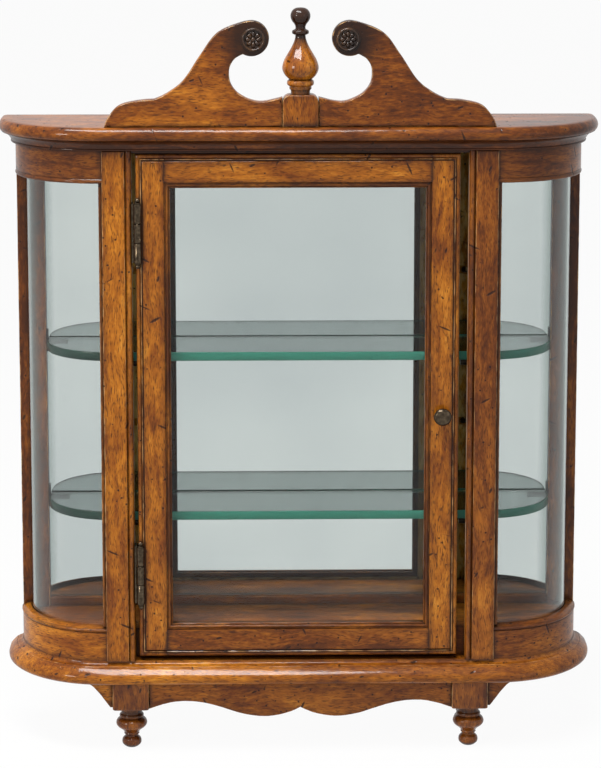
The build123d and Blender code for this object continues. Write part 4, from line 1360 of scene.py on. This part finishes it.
    def rails(self, side: Side) -> None:
        """Curved rails over and under the bent pane.

        Args:
            side: Side of the case.
        """
        r = self.plan.rail_radius
        glass_low, glass_high = node_box("side_glass_" + side)
        outer_glass = from_middle("side_glass_" + side)[1] - self.plan.arc_x
        inner, bed = outer_glass - self.pane - r, outer_glass + self.glass_play - r
        low, high = node_box("lower_rail_" + side)
        under, bottom = low.z - high.z, glass_low.z - high.z
        lower = [(inner, under, 0.0), (0.0, under, 0.0), (0.0, -6.2, 0.0), (-0.5, -5.6, 0.0)]
        lower += wearing(through([(0.3, -5.1), (0.9, -3.8), (0.4, -2.6), (-0.8, -2.2)], 3), 0.4)
        lower += [(-3.0, -1.6, 0.0), (bed + 1.4, -0.3, 0.0), (bed + 0.4, 0.0, 0.5), (bed, -0.4, 0.3),
                  (bed, bottom, 0.0), (inner, bottom, 0.0)]
        lower = shifted(lower, r, high.z)
        low, high = node_box("upper_rail_" + side)
        over, top = high.z - low.z, glass_high.z - low.z
        upper = [(inner, over, 0.0), (0.0, over, 0.0), (0.0, 5.0, 0.0), (-0.6, 4.2, 0.0)]
        upper += wearing(through([(0.1, 3.4), (0.7, 2.0), (0.3, 0.7), (-0.9, 0.0)], 3), 0.4)
        upper += [(bed + 0.5, 0.0, 0.2), (bed, 0.4, 0.2), (bed, top, 0.0), (inner, top, 0.0)]
        upper = shifted(upper, r, low.z)
        for name, section, stain in (("lower_rail_" + side, lower, Stain(0.5, -0.02, 0.45)),
                                     ("upper_rail_" + side, upper, Stain(0.85, -0.1, 0.2))):
            self.in_wood(self.bow(name + "_maple", side, section, 0.35, stain), name)

    def bent_pane(self, side: Side) -> None:
        """Bent glass pane with seamed edges.

        Args:
            side: Side of the case.
        """
        node = "side_glass_" + side
        low, high = node_box(node)
        outer = from_middle(node)[1] - self.plan.arc_x
        inner = outer - self.pane

        def length(spot: Vector) -> float:
            """Painted shade: the tint darkens towards the ends along the side of the case, where one looks a
            long way through the bent sheet.
            """
            return share((abs(spot.x) - 236.0) / 12.0)

        section = rounded([(inner, low.z, 0.4), (outer, low.z, 0.4), (outer, high.z, 0.4),
                           (inner, high.z, 0.4)], 2, 0.5)
        draft = self.bow(node + "_pane", side, section, 0.0, Stain(), length)
        draft.finish(self.body, Slot.CLEAR_GLASS, [self.finishes.glass], node)

    def build(self) -> None:
        """Builds the carcase and dresses the frame nodes that stay."""
        self.base()
        self.cornice()
        self.top()
        for side in Side:
            self.post(side)
            self.rear_post(side)
            self.glass_strip(side)
            self.rails(side)
            self.bent_pane(side)
        dress(self.finishes.wood_level, "floor_board", "floor_front_rail", "mirror_strip_bottom",
              "mirror_strip_top")
        dress(self.finishes.hardboard, "back_panel")
        dress(self.finishes.mirror, "mirror")
        dress(self.finishes.steel, "back_panel_screws", "frame_screws")
        dress(self.finishes.plastic, "catch_body")


def clear_tools() -> None:
    """Removes the cutting tools."""
    while TOOLS:
        bpy.data.objects.remove(TOOLS.pop())


def dress(material: Material, *nodes: str) -> None:
    """Gives frame nodes that keep their shape a finish.

    Args:
        material: The finish.
        nodes: Names of the nodes.
    """
    for node in nodes:
        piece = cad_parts[node]
        piece.data.materials.clear()
        piece.data.materials.append(material)
        LOG.info("%s keeps its shape, in %s", node, material.name)


# ---------------------------------------------------------------- the door

@dataclass
class Door(Assembly):
    """Door frame with a bead round its edge, sight beads, pane and knob."""

    body: ClassVar[Body] = Body.DOOR
    edge_bead: float = 6.0        # width of the bead and quirk round the door
    stile: float = 26.0           # width of stiles and rails
    sight: float = 5.2            # width of the sight beads
    # the last two numbers of these stains paint the hidden back faces lighter and paler: painted light
    stains: dict[str, Stain] = field(default_factory=lambda: {
        "door_stile_left": Stain(0.5, 0.0, 0.3, back=0.4, bare=1.0),
        "door_stile_right": Stain(0.2, 0.02, 0.3, back=0.4, bare=1.0),
        "door_rail_top": Stain(0.5, 0.02, 0.1, back=0.4, bare=1.0),
        "door_rail_bottom": Stain(0.75, -0.04, 0.1, back=0.4, bare=1.0),
        "door_beads_side": Stain(0.6, -0.05, 0.1), "door_beads_rail": Stain(0.4, 0.0, 0.1)})

    def limits(self) -> tuple[Vector, Vector]:
        """Lowest and highest corners of the whole door frame."""
        left, right = node_box("door_stile_left"), node_box("door_stile_right")
        return left[0], right[1]

    def ring(self, draft: Draft, section: Sequence[SectionPoint]) -> None:
        """Draws a mitred frame round the door.

        Args:
            draft: Draft that gets it.
            section: Inset, depth and wear of each point.
        """
        low, high = self.limits()
        upward = [(z - low.z) / (high.z - low.z) for z in steps(low.z, high.z)]
        across = [(x - low.x) / (high.x - low.x) for x in steps(low.x, high.x)]
        spots = [(0.0, t) for t in upward[:-1]] + [(s, 1.0) for s in across[:-1]]
        spots += [(1.0, t) for t in upward[:0:-1]] + [(s, 0.0) for s in across[:0:-1]]
        rings = draft.sweep([[
            (Vector((low.x + inset + s * (high.x - low.x - 2 * inset), low.y + depth,
                     low.z + inset + t * (high.z - low.z - 2 * inset))), wear)
            for inset, depth, wear in section] for s, t in spots], caps=False)
        draft.bridge(rings[-1], rings[0])

    def frame_piece(self, node: str, axis_limits: tuple[tuple[float, float], tuple[float, float]]) -> None:
        """One stile or rail, cut from the mitred frame.

        Args:
            node: Name of the node it replaces.
            axis_limits: Limits that it keeps along X and along Z.
        """
        low, high = self.limits()
        deep = high.y - low.y
        b = self.edge_bead
        bead = through([(0.0, 4.6), (0.3, 3.0), (1.3, 1.9), (2.6, 1.5), (3.5, 1.75), (3.9, 2.1)], 3)
        section = [(0.0, deep, 0.0), *wearing(bead, 0.2)]
        section += [(4.1, 1.4, 0.3), (4.4, 0.8, 0.9), (4.9, 0.6, 1.0), (5.3, 0.9, 0.8), (5.4, 2.6, 0.0),
                    (b + 0.3, 2.6, 0.0), (b + 0.4, 0.6, 0.0), (b + 0.8, 0.1, 0.3), (b + 1.4, 0.0, 0.0),
                    (b + 2.8, 0.0, 0.0), (self.stile - 2.4, 0.0, 0.0), (self.stile - 0.9, 0.0, 0.3),
                    (self.stile - 0.2, 0.4, 0.4), (self.stile, 1.2, 0.0), (self.stile, deep, 0.0)]
        upright = node.startswith("door_stile")
        draft = Draft(node + "_maple", Grain.ALONG_Z if upright else Grain.ALONG_X, 0.4, self.stains[node])
        self.ring(draft, section)
        for axis, limits in zip((0, 2), axis_limits):
            if limits:
                draft.keep(axis, limits)
        self.in_wood(draft, node)

    def sight_bead(self, node: str, axis: int) -> None:
        """Two mitred sight beads beside the pane: a fillet, an ogee and an inner bead.

        Args:
            node: Name of the node that they replace.
            axis: Axis that they run along.
        """
        low, high = self.limits()
        w = self.sight
        profile = [(0.0, 7.0, 0.0), (0.0, 1.9, 0.0), (0.35, 1.35, 0.8), (1.0, 1.3, 0.4), (1.25, 1.9, 0.0)]
        profile += wearing(through([(1.5, 1.75), (2.3, 1.5), (3.2, 1.9), (3.8, 3.0)], 3), 0.15)
        profile += [(3.9, 3.6, 0.0), (4.2, 3.3, 0.7), (4.8, 3.4, 0.6), (w, 3.9, 0.2), (w, 7.0, 0.0)]
        draft = Draft(node + "_maple", Grain(axis), 0.2, self.stains[node])
        self.ring(draft, shifted(profile, self.stile, 0.0))
        centre, span = (low + high) / 2, (high - low) / 2

        def upright(face: bmesh.types.BMFace) -> bool:
            """Whether a face lies in one of the two upright arms, which end at the mitres."""
            spot = face.calc_center_median() - centre
            return span.x - abs(spot.x) < span.z - abs(spot.z)

        other_arms = [face for face in draft.mesh.faces if upright(face) != (axis == 2)]
        bmesh.ops.delete(draft.mesh, geom=other_arms, context="FACES")
        bmesh.ops.holes_fill(draft.mesh, edges=[e for e in draft.mesh.edges if e.is_boundary])
        self.in_wood(draft, node)

    def knob(self) -> None:
        """Turned knob: a foot, a slim neck and a domed head with a chamfered rim."""
        low, high = node_box("knob")
        centre = Vector(((low.x + high.x) / 2, high.y, (low.z + high.z) / 2))
        radius, length = (high.z - low.z) / 2, high.y - low.y
        profile = [(0.0, 0.0), (4.6, 0.0), (4.6, 1.0), (4.3, 1.3)]
        profile += through([(3.6, 1.8), (3.0, 3.0), (3.1, 4.6), (4.6, 5.6), (6.6, 6.1)], 4)
        profile += [(radius - 0.4, 7.2), (radius, 7.9), (radius, 8.6), (radius - 0.35, 9.3), (6.7, 10.3)]
        profile += through([(6.4, length - 1.0), (4.6, length - 0.45), (2.4, length - 0.1), (0.0, length)], 4)
        draft = Draft("knob_turned", wear_depth=0.0)
        draft.lathe(profile, centre, Vector((0, -1, 0)), 64)
        self.in_bronze(draft, "knob")

    def build(self) -> None:
        """Builds the door."""
        low, high = self.limits()
        left, right, middle = low.x + self.stile, high.x - self.stile, (low.z + high.z) / 2
        out = 5.0                 # past the frame, where nothing is cut off
        whole = (low.z - out, high.z + out)
        self.frame_piece("door_stile_left", ((low.x - out, left), whole))
        self.frame_piece("door_stile_right", ((right, high.x + out), whole))
        self.frame_piece("door_rail_bottom", ((left, right), (low.z - out, middle)))
        self.frame_piece("door_rail_top", ((left, right), (middle, high.z + out)))
        self.sight_bead("door_beads_side", 2)
        self.sight_bead("door_beads_rail", 0)
        self.knob()
        dress(self.finishes.glass, "door_pane")
        dress(self.finishes.wood_upright, "door_stops_side")
        dress(self.finishes.wood_level, "door_stops_rail")
        dress(self.finishes.bronze, "strike_plate")
        dress(self.finishes.steel, "knob_screw", "door_screws")


# ---------------------------------------------------------------- hinges

@dataclass
class Hinges(Assembly):
    """Ball-tipped butt hinges; their knuckles are chamfered, so that each joint shows as a groove."""

    chamfer: float = 0.7

    def groove(self, centre: Vector, barrel: float) -> Object:
        """Makes a ring with a V section, which chamfers the knuckles on both sides of a joint.

        Args:
            centre: Point of the joint on the hinge's axis.
            barrel: Radius of the knuckles.

        Returns:
            The ring, as a tool.
        """
        draft = Draft("knuckle_groove")
        outer, half = barrel + 0.3, self.chamfer + 0.3
        rings = [draft.ring([(centre + Vector((math.cos(a) * r, math.sin(a) * r, up)), 0.0)
                             for a in full_turn(48)])
                 for r, up in ((barrel - self.chamfer, 0.0), (outer, -half), (outer, half))]
        for first, second in zip(rings, [*rings[1:], rings[0]]):
            draft.bridge(first, second)
        return draft.tool()

    def leaf(self, node: str, body: Body, joints: Sequence[Vector], barrel: float) -> None:
        """One leaf with its knuckles, grooved at the joints.

        Args:
            node: Name of the node that it copies and replaces.
            body: Body that it rides on.
            joints: Points of the joints on the hinge's axis.
            barrel: Radius of the knuckles.
        """
        piece = in_scene(node + "_grooved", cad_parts[node].data.copy())
        for joint in joints:
            carve(piece, self.groove(joint, barrel))
        piece.data.materials.clear()
        settle(piece, body, [self.finishes.bronze], node)

    def pin(self, level: str, low: Vector, high: Vector, barrel: tuple[float, float]) -> None:
        """Pin with a collar and a ball at each end.

        Args:
            level: Lower or upper.
            low: Lowest corner of the pin's node.
            high: Highest corner of it.
            barrel: Lowest and highest point of the knuckles.
        """
        centre = (low + high) / 2
        reach, half = (high.z - low.z) / 2, (barrel[1] - barrel[0]) / 2
        ball = 2.3
        tip = [(ball * math.sin(a), reach - ball + ball * math.cos(a))
               for a in (math.radians(150 - 10 * k) for k in range(15))]
        end = [(1.5, half - 0.4), (2.7, half), (3.0, half + 0.3), (3.0, half + 1.0), (2.6, half + 1.3)]
        end += [*tip, (0.0, reach)]
        profile = [(r, -up) for r, up in reversed(end)] + end
        draft = Draft(f"hinge_pin_{level}_turned", wear_depth=0.0)
        draft.lathe(profile, centre, segments=40)
        self.in_bronze(draft, "hinge_pin_" + level)

    def build(self) -> None:
        """Builds both hinges."""
        for level in ("lower", "upper"):
            low, high = node_box("hinge_pin_" + level)
            leaf_low, leaf_high = node_box("hinge_frame_leaf_" + level)
            third = (leaf_high.z - leaf_low.z) / 3
            axis = (low + high) / 2
            barrel = leaf_high.x - axis.x
            joints = [Vector((axis.x, axis.y, leaf_low.z + third * k)) for k in (1, 2)]
            self.leaf("hinge_frame_leaf_" + level, Body.CABINET, joints, barrel)
            self.leaf("hinge_door_leaf_" + level, Body.DOOR, joints, barrel)
            self.pin(level, low, high, (leaf_low.z, leaf_high.z))


# ---------------------------------------------------------------- shelves

@dataclass
class Shelves(Assembly):
    """Glass shelves with polished edges, and the supports under them."""

    end_radius: float = 64.0
    arris: float = 0.8

    def shelf(self, node: str, body: Body) -> None:
        """One shelf: straight front and back, rounded front corners.

        Args:
            node: Name of the node that it replaces.
            body: Body that it rides on.
        """
        low, high = node_box(node)
        r = self.end_radius
        front = [(x, low.y) for x in steps(-high.x + r, high.x - r, 30.0)[1:-1]]
        right = [(high.x - r + r * math.sin(a), low.y + r - r * math.cos(a)) for a in quarter(40)]
        right += [(high.x, high.y)]

        def length(spot: Vector) -> float:
            """Painted shade: round the ends the edge tint darkens, where light comes a long way through the
            sheet, at the left above all.
            """
            most = 0.95 if spot.x < 0 else 0.3
            return most * share((abs(spot.x) - high.x + r + 14.0) / 24.0)

        draft = Draft(node + "_plate", wear_depth=0.0, glaze=length)
        draft.plate(front + right + mirrored_x(right), lambda x, y, t: Vector((x, y, high.z - t)),
                    high.z - low.z, self.arris, 1, 2)
        draft.finish(body, Slot.SHELF_GLASS, [self.finishes.shelf_glass, self.finishes.shelf_edge], node)

    def build(self) -> None:
        """Builds the shelves."""
        self.shelf("shelf_lower", Body.LOWER_SHELF)
        self.shelf("shelf_upper", Body.UPPER_SHELF)
        dress(self.finishes.blackened, "shelf_pins_front", "shelf_supports_rear")


# ---------------------------------------------------------------- swan-neck top

@dataclass
class SwanNeck(Assembly):
    """Swan-neck boards, rosettes, block and finial."""

    scroll_x: float = 44.2
    scroll_z: float = 79.7        # centre of the scrolls over the top board
    scroll_r: float = 16.0
    block_round: float = 7.0      # radius of the block's top corners

    def outline(self) -> list[Point]:
        """Draws the left board's outline over the top board.

        Returns:
            The points of the outline.
        """
        half_block = node_box("finial_block")[1].x
        low_end, shoulder = (-177.0, 0.0), (-132.0, 25.0)
        foot = through([low_end, (-173.6, 8.4), (-163.6, 19.4), (-147.0, 23.8), shoulder], 6)
        neck = through([(-140.0, 24.2), shoulder, (-119.0, 31.2), (-105.0, 42.6), (-90.0, 65.0),
                        (-74.0, 85.2), (-48.2, 95.5), (-40.0, 95.5)], 8)[8:-8]
        arc = [(self.scroll_r * math.cos(a) - self.scroll_x, self.scroll_r * math.sin(a) + self.scroll_z)
               for a in (math.radians(105 - 223 * k / 40) for k in range(41))]
        inner = through([arc[-3], arc[-1], (-59.6, 60.8), (-64.0, 52.0), (-62.6, 38.8), (-53.4, 28.6),
                         (-36.8, 22.8), (-half_block, 26.8)], 7)[7:]
        base = [(x, 0.0) for x in steps(-half_block, -177.0, 6.0)][1:-1]
        return foot[:-1] + neck[:-1] + arc[:-1] + inner + [(-half_block, 13.0), (-half_block, 0.0)] + base

    def board(self, side: Side) -> None:
        """One swan-neck board; glaze was left heavy round its scroll.

        Args:
            side: Side of the case.
        """
        low, high = node_box("pediment_" + side)
        scroll = Vector((side.sign * self.scroll_x, 0, low.z + self.scroll_z))

        def glaze(spot: Vector) -> float:
            """Dark round the scroll, fading down the neck."""
            gap = math.hypot(spot.x - scroll.x, spot.z - scroll.z)
            return 0.95 * share((41.0 - gap) / 25.0) ** 1.3

        if side is Side.LEFT:
            outline, stain = self.outline(), Stain(0.55, -0.02, 0.2)
        else:
            outline, stain = mirrored_x(self.outline()), Stain(0.75, -0.08, 0.2)
        draft = Draft(f"pediment_{side}_maple", Grain.ALONG_X, 0.35, stain, glaze=glaze)
        draft.plate(outline, facing_front(low.y, low.z), high.y - low.y, 1.1)
        draft.slice(0, 7.0)
        draft.slice(2, 7.0)
        self.in_wood(draft, "pediment_" + side)

    def rosette(self, side: Side) -> None:
        """Carved rosette: a rim, eight ribbed petals and a domed eye.

        Args:
            side: Side of the case.
        """
        low, high = node_box("rosette_" + side)
        centre = Vector(((low.x + high.x) / 2, high.y, (low.z + high.z) / 2))
        radius, deep = (high.x - low.x) / 2, high.y - low.y
        petals, around = 8, 144

        def height(r: float, turn: float) -> float:
            """Relief of the carving over the back.

            Args:
                r: Distance from the middle.
                turn: Angle round it.

            Returns:
                Height of the surface.
            """
            if r < 2.1:
                return 1.5 + 1.3 * math.sqrt(max(0.0, 1 - (r / 2.1) ** 2))
            lobe = abs(math.cos(petals / 2 * turn))
            rib = math.exp(-(((turn * petals / (2 * math.pi)) % 1 - 0.5) * 7) ** 2)
            reach = 5.0 + 2.4 * lobe ** 0.5
            if r < 8.2:
                crown = max(0.0, math.sin(math.pi * min(1.0, (r - 1.9) / (reach - 1.7))))
                return 0.9 + 1.35 * crown * (0.35 + 0.65 * lobe) - 0.3 * rib * crown
            rim = max(0.0, 1 - ((r - 9.35) / 1.45) ** 2)
            return 0.9 + (deep - 0.9) * math.sqrt(rim)

        draft = Draft(f"rosette_{side}_carved", Grain.ALONG_Z, 0.0)
        back = draft.ring([(centre + Vector((math.cos(t), 0, math.sin(t))) * radius, 0.0)
                           for t in full_turn(around)])
        last = back
        for r in (radius * k / 46 for k in range(46, 0, -1)):
            ring = draft.ring([(centre + Vector((math.cos(t) * r, -min(deep, height(r, t)), math.sin(t) * r)),
                                0.3 if r > 8.4 else 0.0) for t in full_turn(around)])
            draft.bridge(last, ring)
            last = ring
        eye = draft.ring([(centre + Vector((0, -min(deep, height(0.0, 0.0)), 0)), 0.0)])[0]
        draft.fan(eye, last)
        draft.cap(back)
        draft.finish(self.body, Slot.DARK_WOOD, [self.finishes.carving], "rosette_" + side)

    def block(self) -> None:
        """Block between the boards, its top corners rounded over."""
        low, high = node_box("finial_block")
        r = self.block_round
        right = [(high.x, z) for z in steps(low.z, high.z - r, 5.0)[:-1]]
        right += [(high.x - r + r * math.cos(a), high.z - r + r * math.sin(a)) for a in quarter(10)]
        draft = Draft("finial_block_maple", Grain.ALONG_Z, 0.35, Stain(0.6, 0.0),
                      glaze=lambda spot: 0.8 * share((low.z + 6.5 - spot.z) / 5.0))
        draft.plate(right + mirrored_x(right), facing_front(low.y), high.y - low.y, 1.0)
        draft.slice(2, 3.0)
        self.in_wood(draft, "finial_block")

    def finial(self) -> None:
        """Turned finial: collar, urn, ring and ball; its ball was left dark."""
        low, high = node_box("finial")
        block_top = node_box("finial_block")[1].z
        centre = Vector(((low.x + high.x) / 2, (low.y + high.y) / 2, block_top - 29.0))

        def glaze(spot: Vector) -> float:
            """Ball and ring nearly black, foot darkened."""
            up = spot.z - centre.z
            return max(0.0, min(0.97, (up - 68.0) / 13.0), 0.6 * min(1.0, (37.0 - up) / 4.0))

        profile = [(0.0, 20.5), (3.0, 20.5), (3.0, 29.0), (8.6, 29.0), (8.7, 31.8), (9.0, 33.0), (9.8, 33.4),
                   (10.1, 34.6), (9.9, 36.2), (10.6, 36.6)]
        profile += through([(11.2, 36.9), (12.1, 38.0), (12.2, 39.6), (11.9, 41.0), (11.0, 41.9)], 3)
        profile += [(10.2, 42.5)]
        profile += through([(11.4, 43.4), (14.2, 46.4), (16.2, 50.6), (16.3, 54.6), (14.6, 60.0), (11.6, 65.4),
                            (8.6, 70.4), (6.2, 75.4), (4.9, 79.4), (4.6, 82.0)], 6)
        profile += through([(5.5, 82.6), (7.3, 83.5), (7.6, 85.0), (7.2, 86.4), (5.6, 87.2)], 3)
        profile += through([(4.6, 88.0), (4.6, 90.0), (5.6, 92.2), (7.6, 94.8), (8.9, 98.2), (8.7, 101.6),
                            (6.9, 104.8), (3.8, 106.6), (0.0, 107.0)], 6)
        draft = Draft("finial_turned", Grain.ALONG_Z, 0.0, Stain(0.4, 0.08), glaze=glaze)
        draft.lathe(profile, centre, segments=96)
        self.in_wood(draft, "finial", turned=True)

    def build(self) -> None:
        """Builds the top ornament."""
        for side in Side:
            self.board(side)
            self.rosette(side)
        self.block()
        self.finial()


# ---------------------------------------------------------------- feet, apron, brackets

@dataclass
class Stand(Assembly):
    """Scalloped apron, corner brackets and turned feet."""

    bulb_top: float = 39.8        # height of a foot's turned part

    def apron(self) -> None:
        """Scalloped board between the front feet."""
        low, high = node_box("apron")
        half, top = high.x, high.z
        right = through([(half, 40.6), (126.0, 45.6), (110.0, 48.0), (92.0, 46.6), (75.0, 42.3), (55.0, 35.8),
                         (38.0, 33.0), (24.0, 33.6), (12.0, 36.4), (4.0, 39.6), (0.0, 41.6)], 7)
        lower = right[:-1] + mirrored_x(right)
        sides = [(half, z) for z in steps(top, 40.6, 5.0)[1:-1]]
        upper = [(x, top) for x in steps(-half, half, 8.0)]
        outline = upper + sides + lower + [(-x, z) for x, z in reversed(sides)]
        draft = Draft("apron_maple", Grain.ALONG_X, 0.35, Stain(0.65, -0.02, 0.2))
        draft.plate(outline, facing_front(low.y), high.y - low.y, 0.8, support=0.0)
        draft.slice(0, 9.0)
        self.in_wood(draft, "apron")

    def bracket(self, side: Side) -> None:
        """Corner bracket: a small notch and a concave sweep.

        Args:
            side: Side of the case.
        """
        low, high = node_box("bracket_" + side)
        x0, x1 = from_middle("bracket_" + side)
        z0, z1 = low.z, high.z
        sweep = through([(x1, z1 - 4.2), (x1 - 4.4, z1 - 6.9), (x1 - 10.2, z1 - 13.4), (x1 - 15.2, z1 - 20.2),
                         (x0 + 2.2, z0)], 6)
        outline = [(x0, z) for z in steps(z0, z1, 5.0)] + [(x, z1) for x in steps(x0, x1, 5.0)[1:]] + sweep
        # painted light: the left bracket is painted lighter and more golden than the right, as if the lamps on
        # the left lit it
        draft = Draft(f"bracket_{side}_maple", Grain.ALONG_X, 0.3,
                      Stain(0.1, 0.2, 0.0) if side is Side.LEFT else Stain(0.7, 0.0, 0.0))
        draft.plate(outline, facing_front(low.y, sign=side.sign), high.y - low.y, 0.5, support=0.0)
        self.in_wood(draft, "bracket_" + side)

    def foot(self, node: str) -> None:
        """Foot: a square block with eased arrises over a turned bulb, neck and ball.

        Args:
            node: Name of the node that it replaces.
        """
        low, high = node_box(node)
        centre = (low + high) / 2
        half = (high.x - low.x) / 2
        draft = Draft(node + "_maple", Grain.ALONG_Z, 0.5, Stain(0.8, -0.08, 0.1),
                      glaze=lambda spot: 0.75 * math.exp(-((spot.z - 33.6) / 4.2) ** 2))
        section = rounded([(-half, -half, 1.2), (half, -half, 1.2), (half, half, 1.2), (-half, half, 1.2)])
        top = self.bulb_top
        levels = [(0.955, top, 0.4), (0.985, top + 0.5, 0.8), (1.0, top + 1.4, 0.0)]
        levels += [(1.0, z, 0.0) for z in steps(top + 3.4, high.z, 3.5)]
        rings = [[(Vector((centre.x + x * k, centre.y + y * k, z)), max(wear, rim)) for x, y, wear in section]
                 for k, z, rim in levels]
        draft.sweep(rings)
        profile = [(0.0, 0.0), (4.2, 0.0), (5.2, 0.3)]
        profile += through([(6.4, 1.0), (8.6, 3.2), (9.1, 5.8), (8.4, 8.4), (6.4, 10.4)], 5)
        profile += [(5.9, 11.2), (6.0, 12.0)]
        profile += through([(6.7, 12.5), (7.2, 13.2), (6.9, 14.2), (7.6, 15.4), (9.6, 17.6), (12.6, 19.8),
                            (14.3, 22.2), (14.4, 24.8), (13.0, 27.2), (10.8, 28.4)], 5)
        profile += through([(10.3, 28.8), (11.1, 29.6), (11.4, 30.8), (11.0, 32.0), (10.2, 32.8)], 3)
        profile += through([(9.7, 33.6), (9.6, 35.4), (10.2, 37.8), (11.2, top)], 4)
        profile += [(0.0, top + 0.4)]
        draft.lathe(profile, Vector((centre.x, centre.y, low.z)), segments=72)
        self.in_wood(draft, node, turned=True)

    def build(self) -> None:
        """Builds what the case stands on."""
        self.apron()
        for side in Side:
            self.bracket(side)
            for row in ("front", "rear"):
                self.foot(f"foot_{row}_{side}")


# ---------------------------------------------------------------- studio

@dataclass
class Softbox:
    """Rectangular studio lamp: place and aim in millimetres, size in metres, power in watts."""

    name: str
    place: tuple[float, float, float]
    aim: tuple[float, float, float]
    size: tuple[float, float]
    power: float
    colour: str = "#FFFFFF"

    def build(self) -> None:
        """Adds the lamp."""
        data = bpy.data.lights.new(self.name, "AREA")
        data.shape = "RECTANGLE"
        data.size, data.size_y = self.size
        data.energy = self.power
        data.color = linear(self.colour)[:3]
        lamp = in_scene(self.name, data)
        lamp.location = Vector(self.place) * MM
        lamp.rotation_euler = (Vector(self.aim) - Vector(self.place)).to_track_quat("-Z", "Y").to_euler()


@dataclass
class Studio:
    """Pale floor and world, soft lamps and the camera."""

    camera_place: tuple[float, float, float] = (-45.0, -2473.0, 879.0)
    camera_pitch: float = 9.16    # degrees below level
    camera_yaw: float = 1.06      # degrees to the right
    lens: float = 127.2
    shift_y: float = -0.19
    floor_size: float = 30.0      # metres
    world_light: float = 0.3
    floor_colour: str = "#E9EAE8"

    def camera(self) -> None:
        """Camera a little above the case and left of its middle."""
        data = bpy.data.cameras.new("camera")
        data.lens = self.lens
        data.sensor_width = 36.0
        data.shift_y = self.shift_y
        data.clip_end = 60.0
        view = in_scene("camera", data)
        view.location = Vector(self.camera_place) * MM
        view.rotation_euler = Euler((math.radians(90.0 - self.camera_pitch), 0.0,
                                     math.radians(-self.camera_yaw)))
        bpy.context.scene.camera = view

    def background_rays(self, tree: Tree) -> Socket:
        """Picks the rays that see the background white: camera, glossy and transmission rays.

        Args:
            tree: Node tree.

        Returns:
            Socket that is 1 for those rays.
        """
        path = add_node(tree, "ShaderNodeLightPath")
        return joined(tree, Join.LARGEST, *(
            path.outputs[name] for name in ("Is Camera Ray", "Is Glossy Ray", "Is Transmission Ray")))

    def world(self) -> None:
        """Even pale light, and a white background for camera, metal and glass."""
        world = bpy.data.worlds.new("studio")
        bpy.context.scene.world = world
        world.use_nodes = True
        tree = world.node_tree
        tree.nodes.clear()
        soft = add_node(tree, "ShaderNodeBackground",
                        {"Color": linear("#F4F4F2"), "Strength": self.world_light})
        white = add_node(tree, "ShaderNodeBackground", {"Color": (1, 1, 1, 1), "Strength": 1.0})
        mix = add_node(tree, "ShaderNodeMixShader", {}, {
            0: self.background_rays(tree), 1: soft.outputs["Background"], 2: white.outputs["Background"]})
        add_node(tree, "ShaderNodeOutputWorld", {}, {"Surface": mix.outputs["Shader"]})

    def floor(self) -> None:
        """Plain pale floor that keeps the shadow and shows white to camera, metal and glass."""
        material, tree = new_material("floor_paper")
        paper = add_node(tree, "ShaderNodeBsdfDiffuse", {"Color": linear(self.floor_colour)})
        white = add_node(tree, "ShaderNodeEmission", {"Color": (1, 1, 1, 1), "Strength": 1.0})
        mostly = add_node(tree, "ShaderNodeMath", {"operation": "MULTIPLY", 1: 0.95},
                          {0: self.background_rays(tree)})
        mix = add_node(tree, "ShaderNodeMixShader", {},
                       {0: mostly.outputs["Value"], 1: paper.outputs["BSDF"], 2: white.outputs["Emission"]})
        add_node(tree, "ShaderNodeOutputMaterial", {}, {"Surface": mix.outputs["Shader"]})
        sheet = bmesh.new()
        half = self.floor_size / 2
        corners = [sheet.verts.new((x * half, y * half, 0)) for x, y in ((-1, -1), (1, -1), (1, 1), (-1, 1))]
        sheet.faces.new(corners)
        data = bpy.data.meshes.new("floor")
        sheet.to_mesh(data)
        sheet.free()
        data.materials.append(material)
        in_scene("floor", data)

    def build(self) -> None:
        """Builds the studio."""
        bpy.context.scene.view_settings.view_transform = "Standard"
        self.camera()
        self.world()
        self.floor()
        centre = (0.0, 0.0, 330.0)
        Softbox("overhead", (-380.0, -600.0, 1800.0), centre, (1.15, 0.36), 34.0).build()
        Softbox("key", (-1700.0, -1500.0, 1100.0), centre, (0.5, 0.5), 17.0, "#FFFAF2").build()
        Softbox("fill", (1900.0, -1800.0, 900.0), centre, (1.4, 1.4), 3.0, "#F2F6FF").build()


# ---------------------------------------------------------------- assembly


def main() -> None:
    """Builds every piece in order, then the studio."""
    logging.basicConfig(level=logging.INFO, format="%(message)s")
    finishes = Finishes()
    for assembly in (Carcase, Door, Hinges, Shelves, SwanNeck, Stand):
        assembly(finishes).build()
    clear_tools()
    Studio().build()


if __name__ == "__main__":
    main()
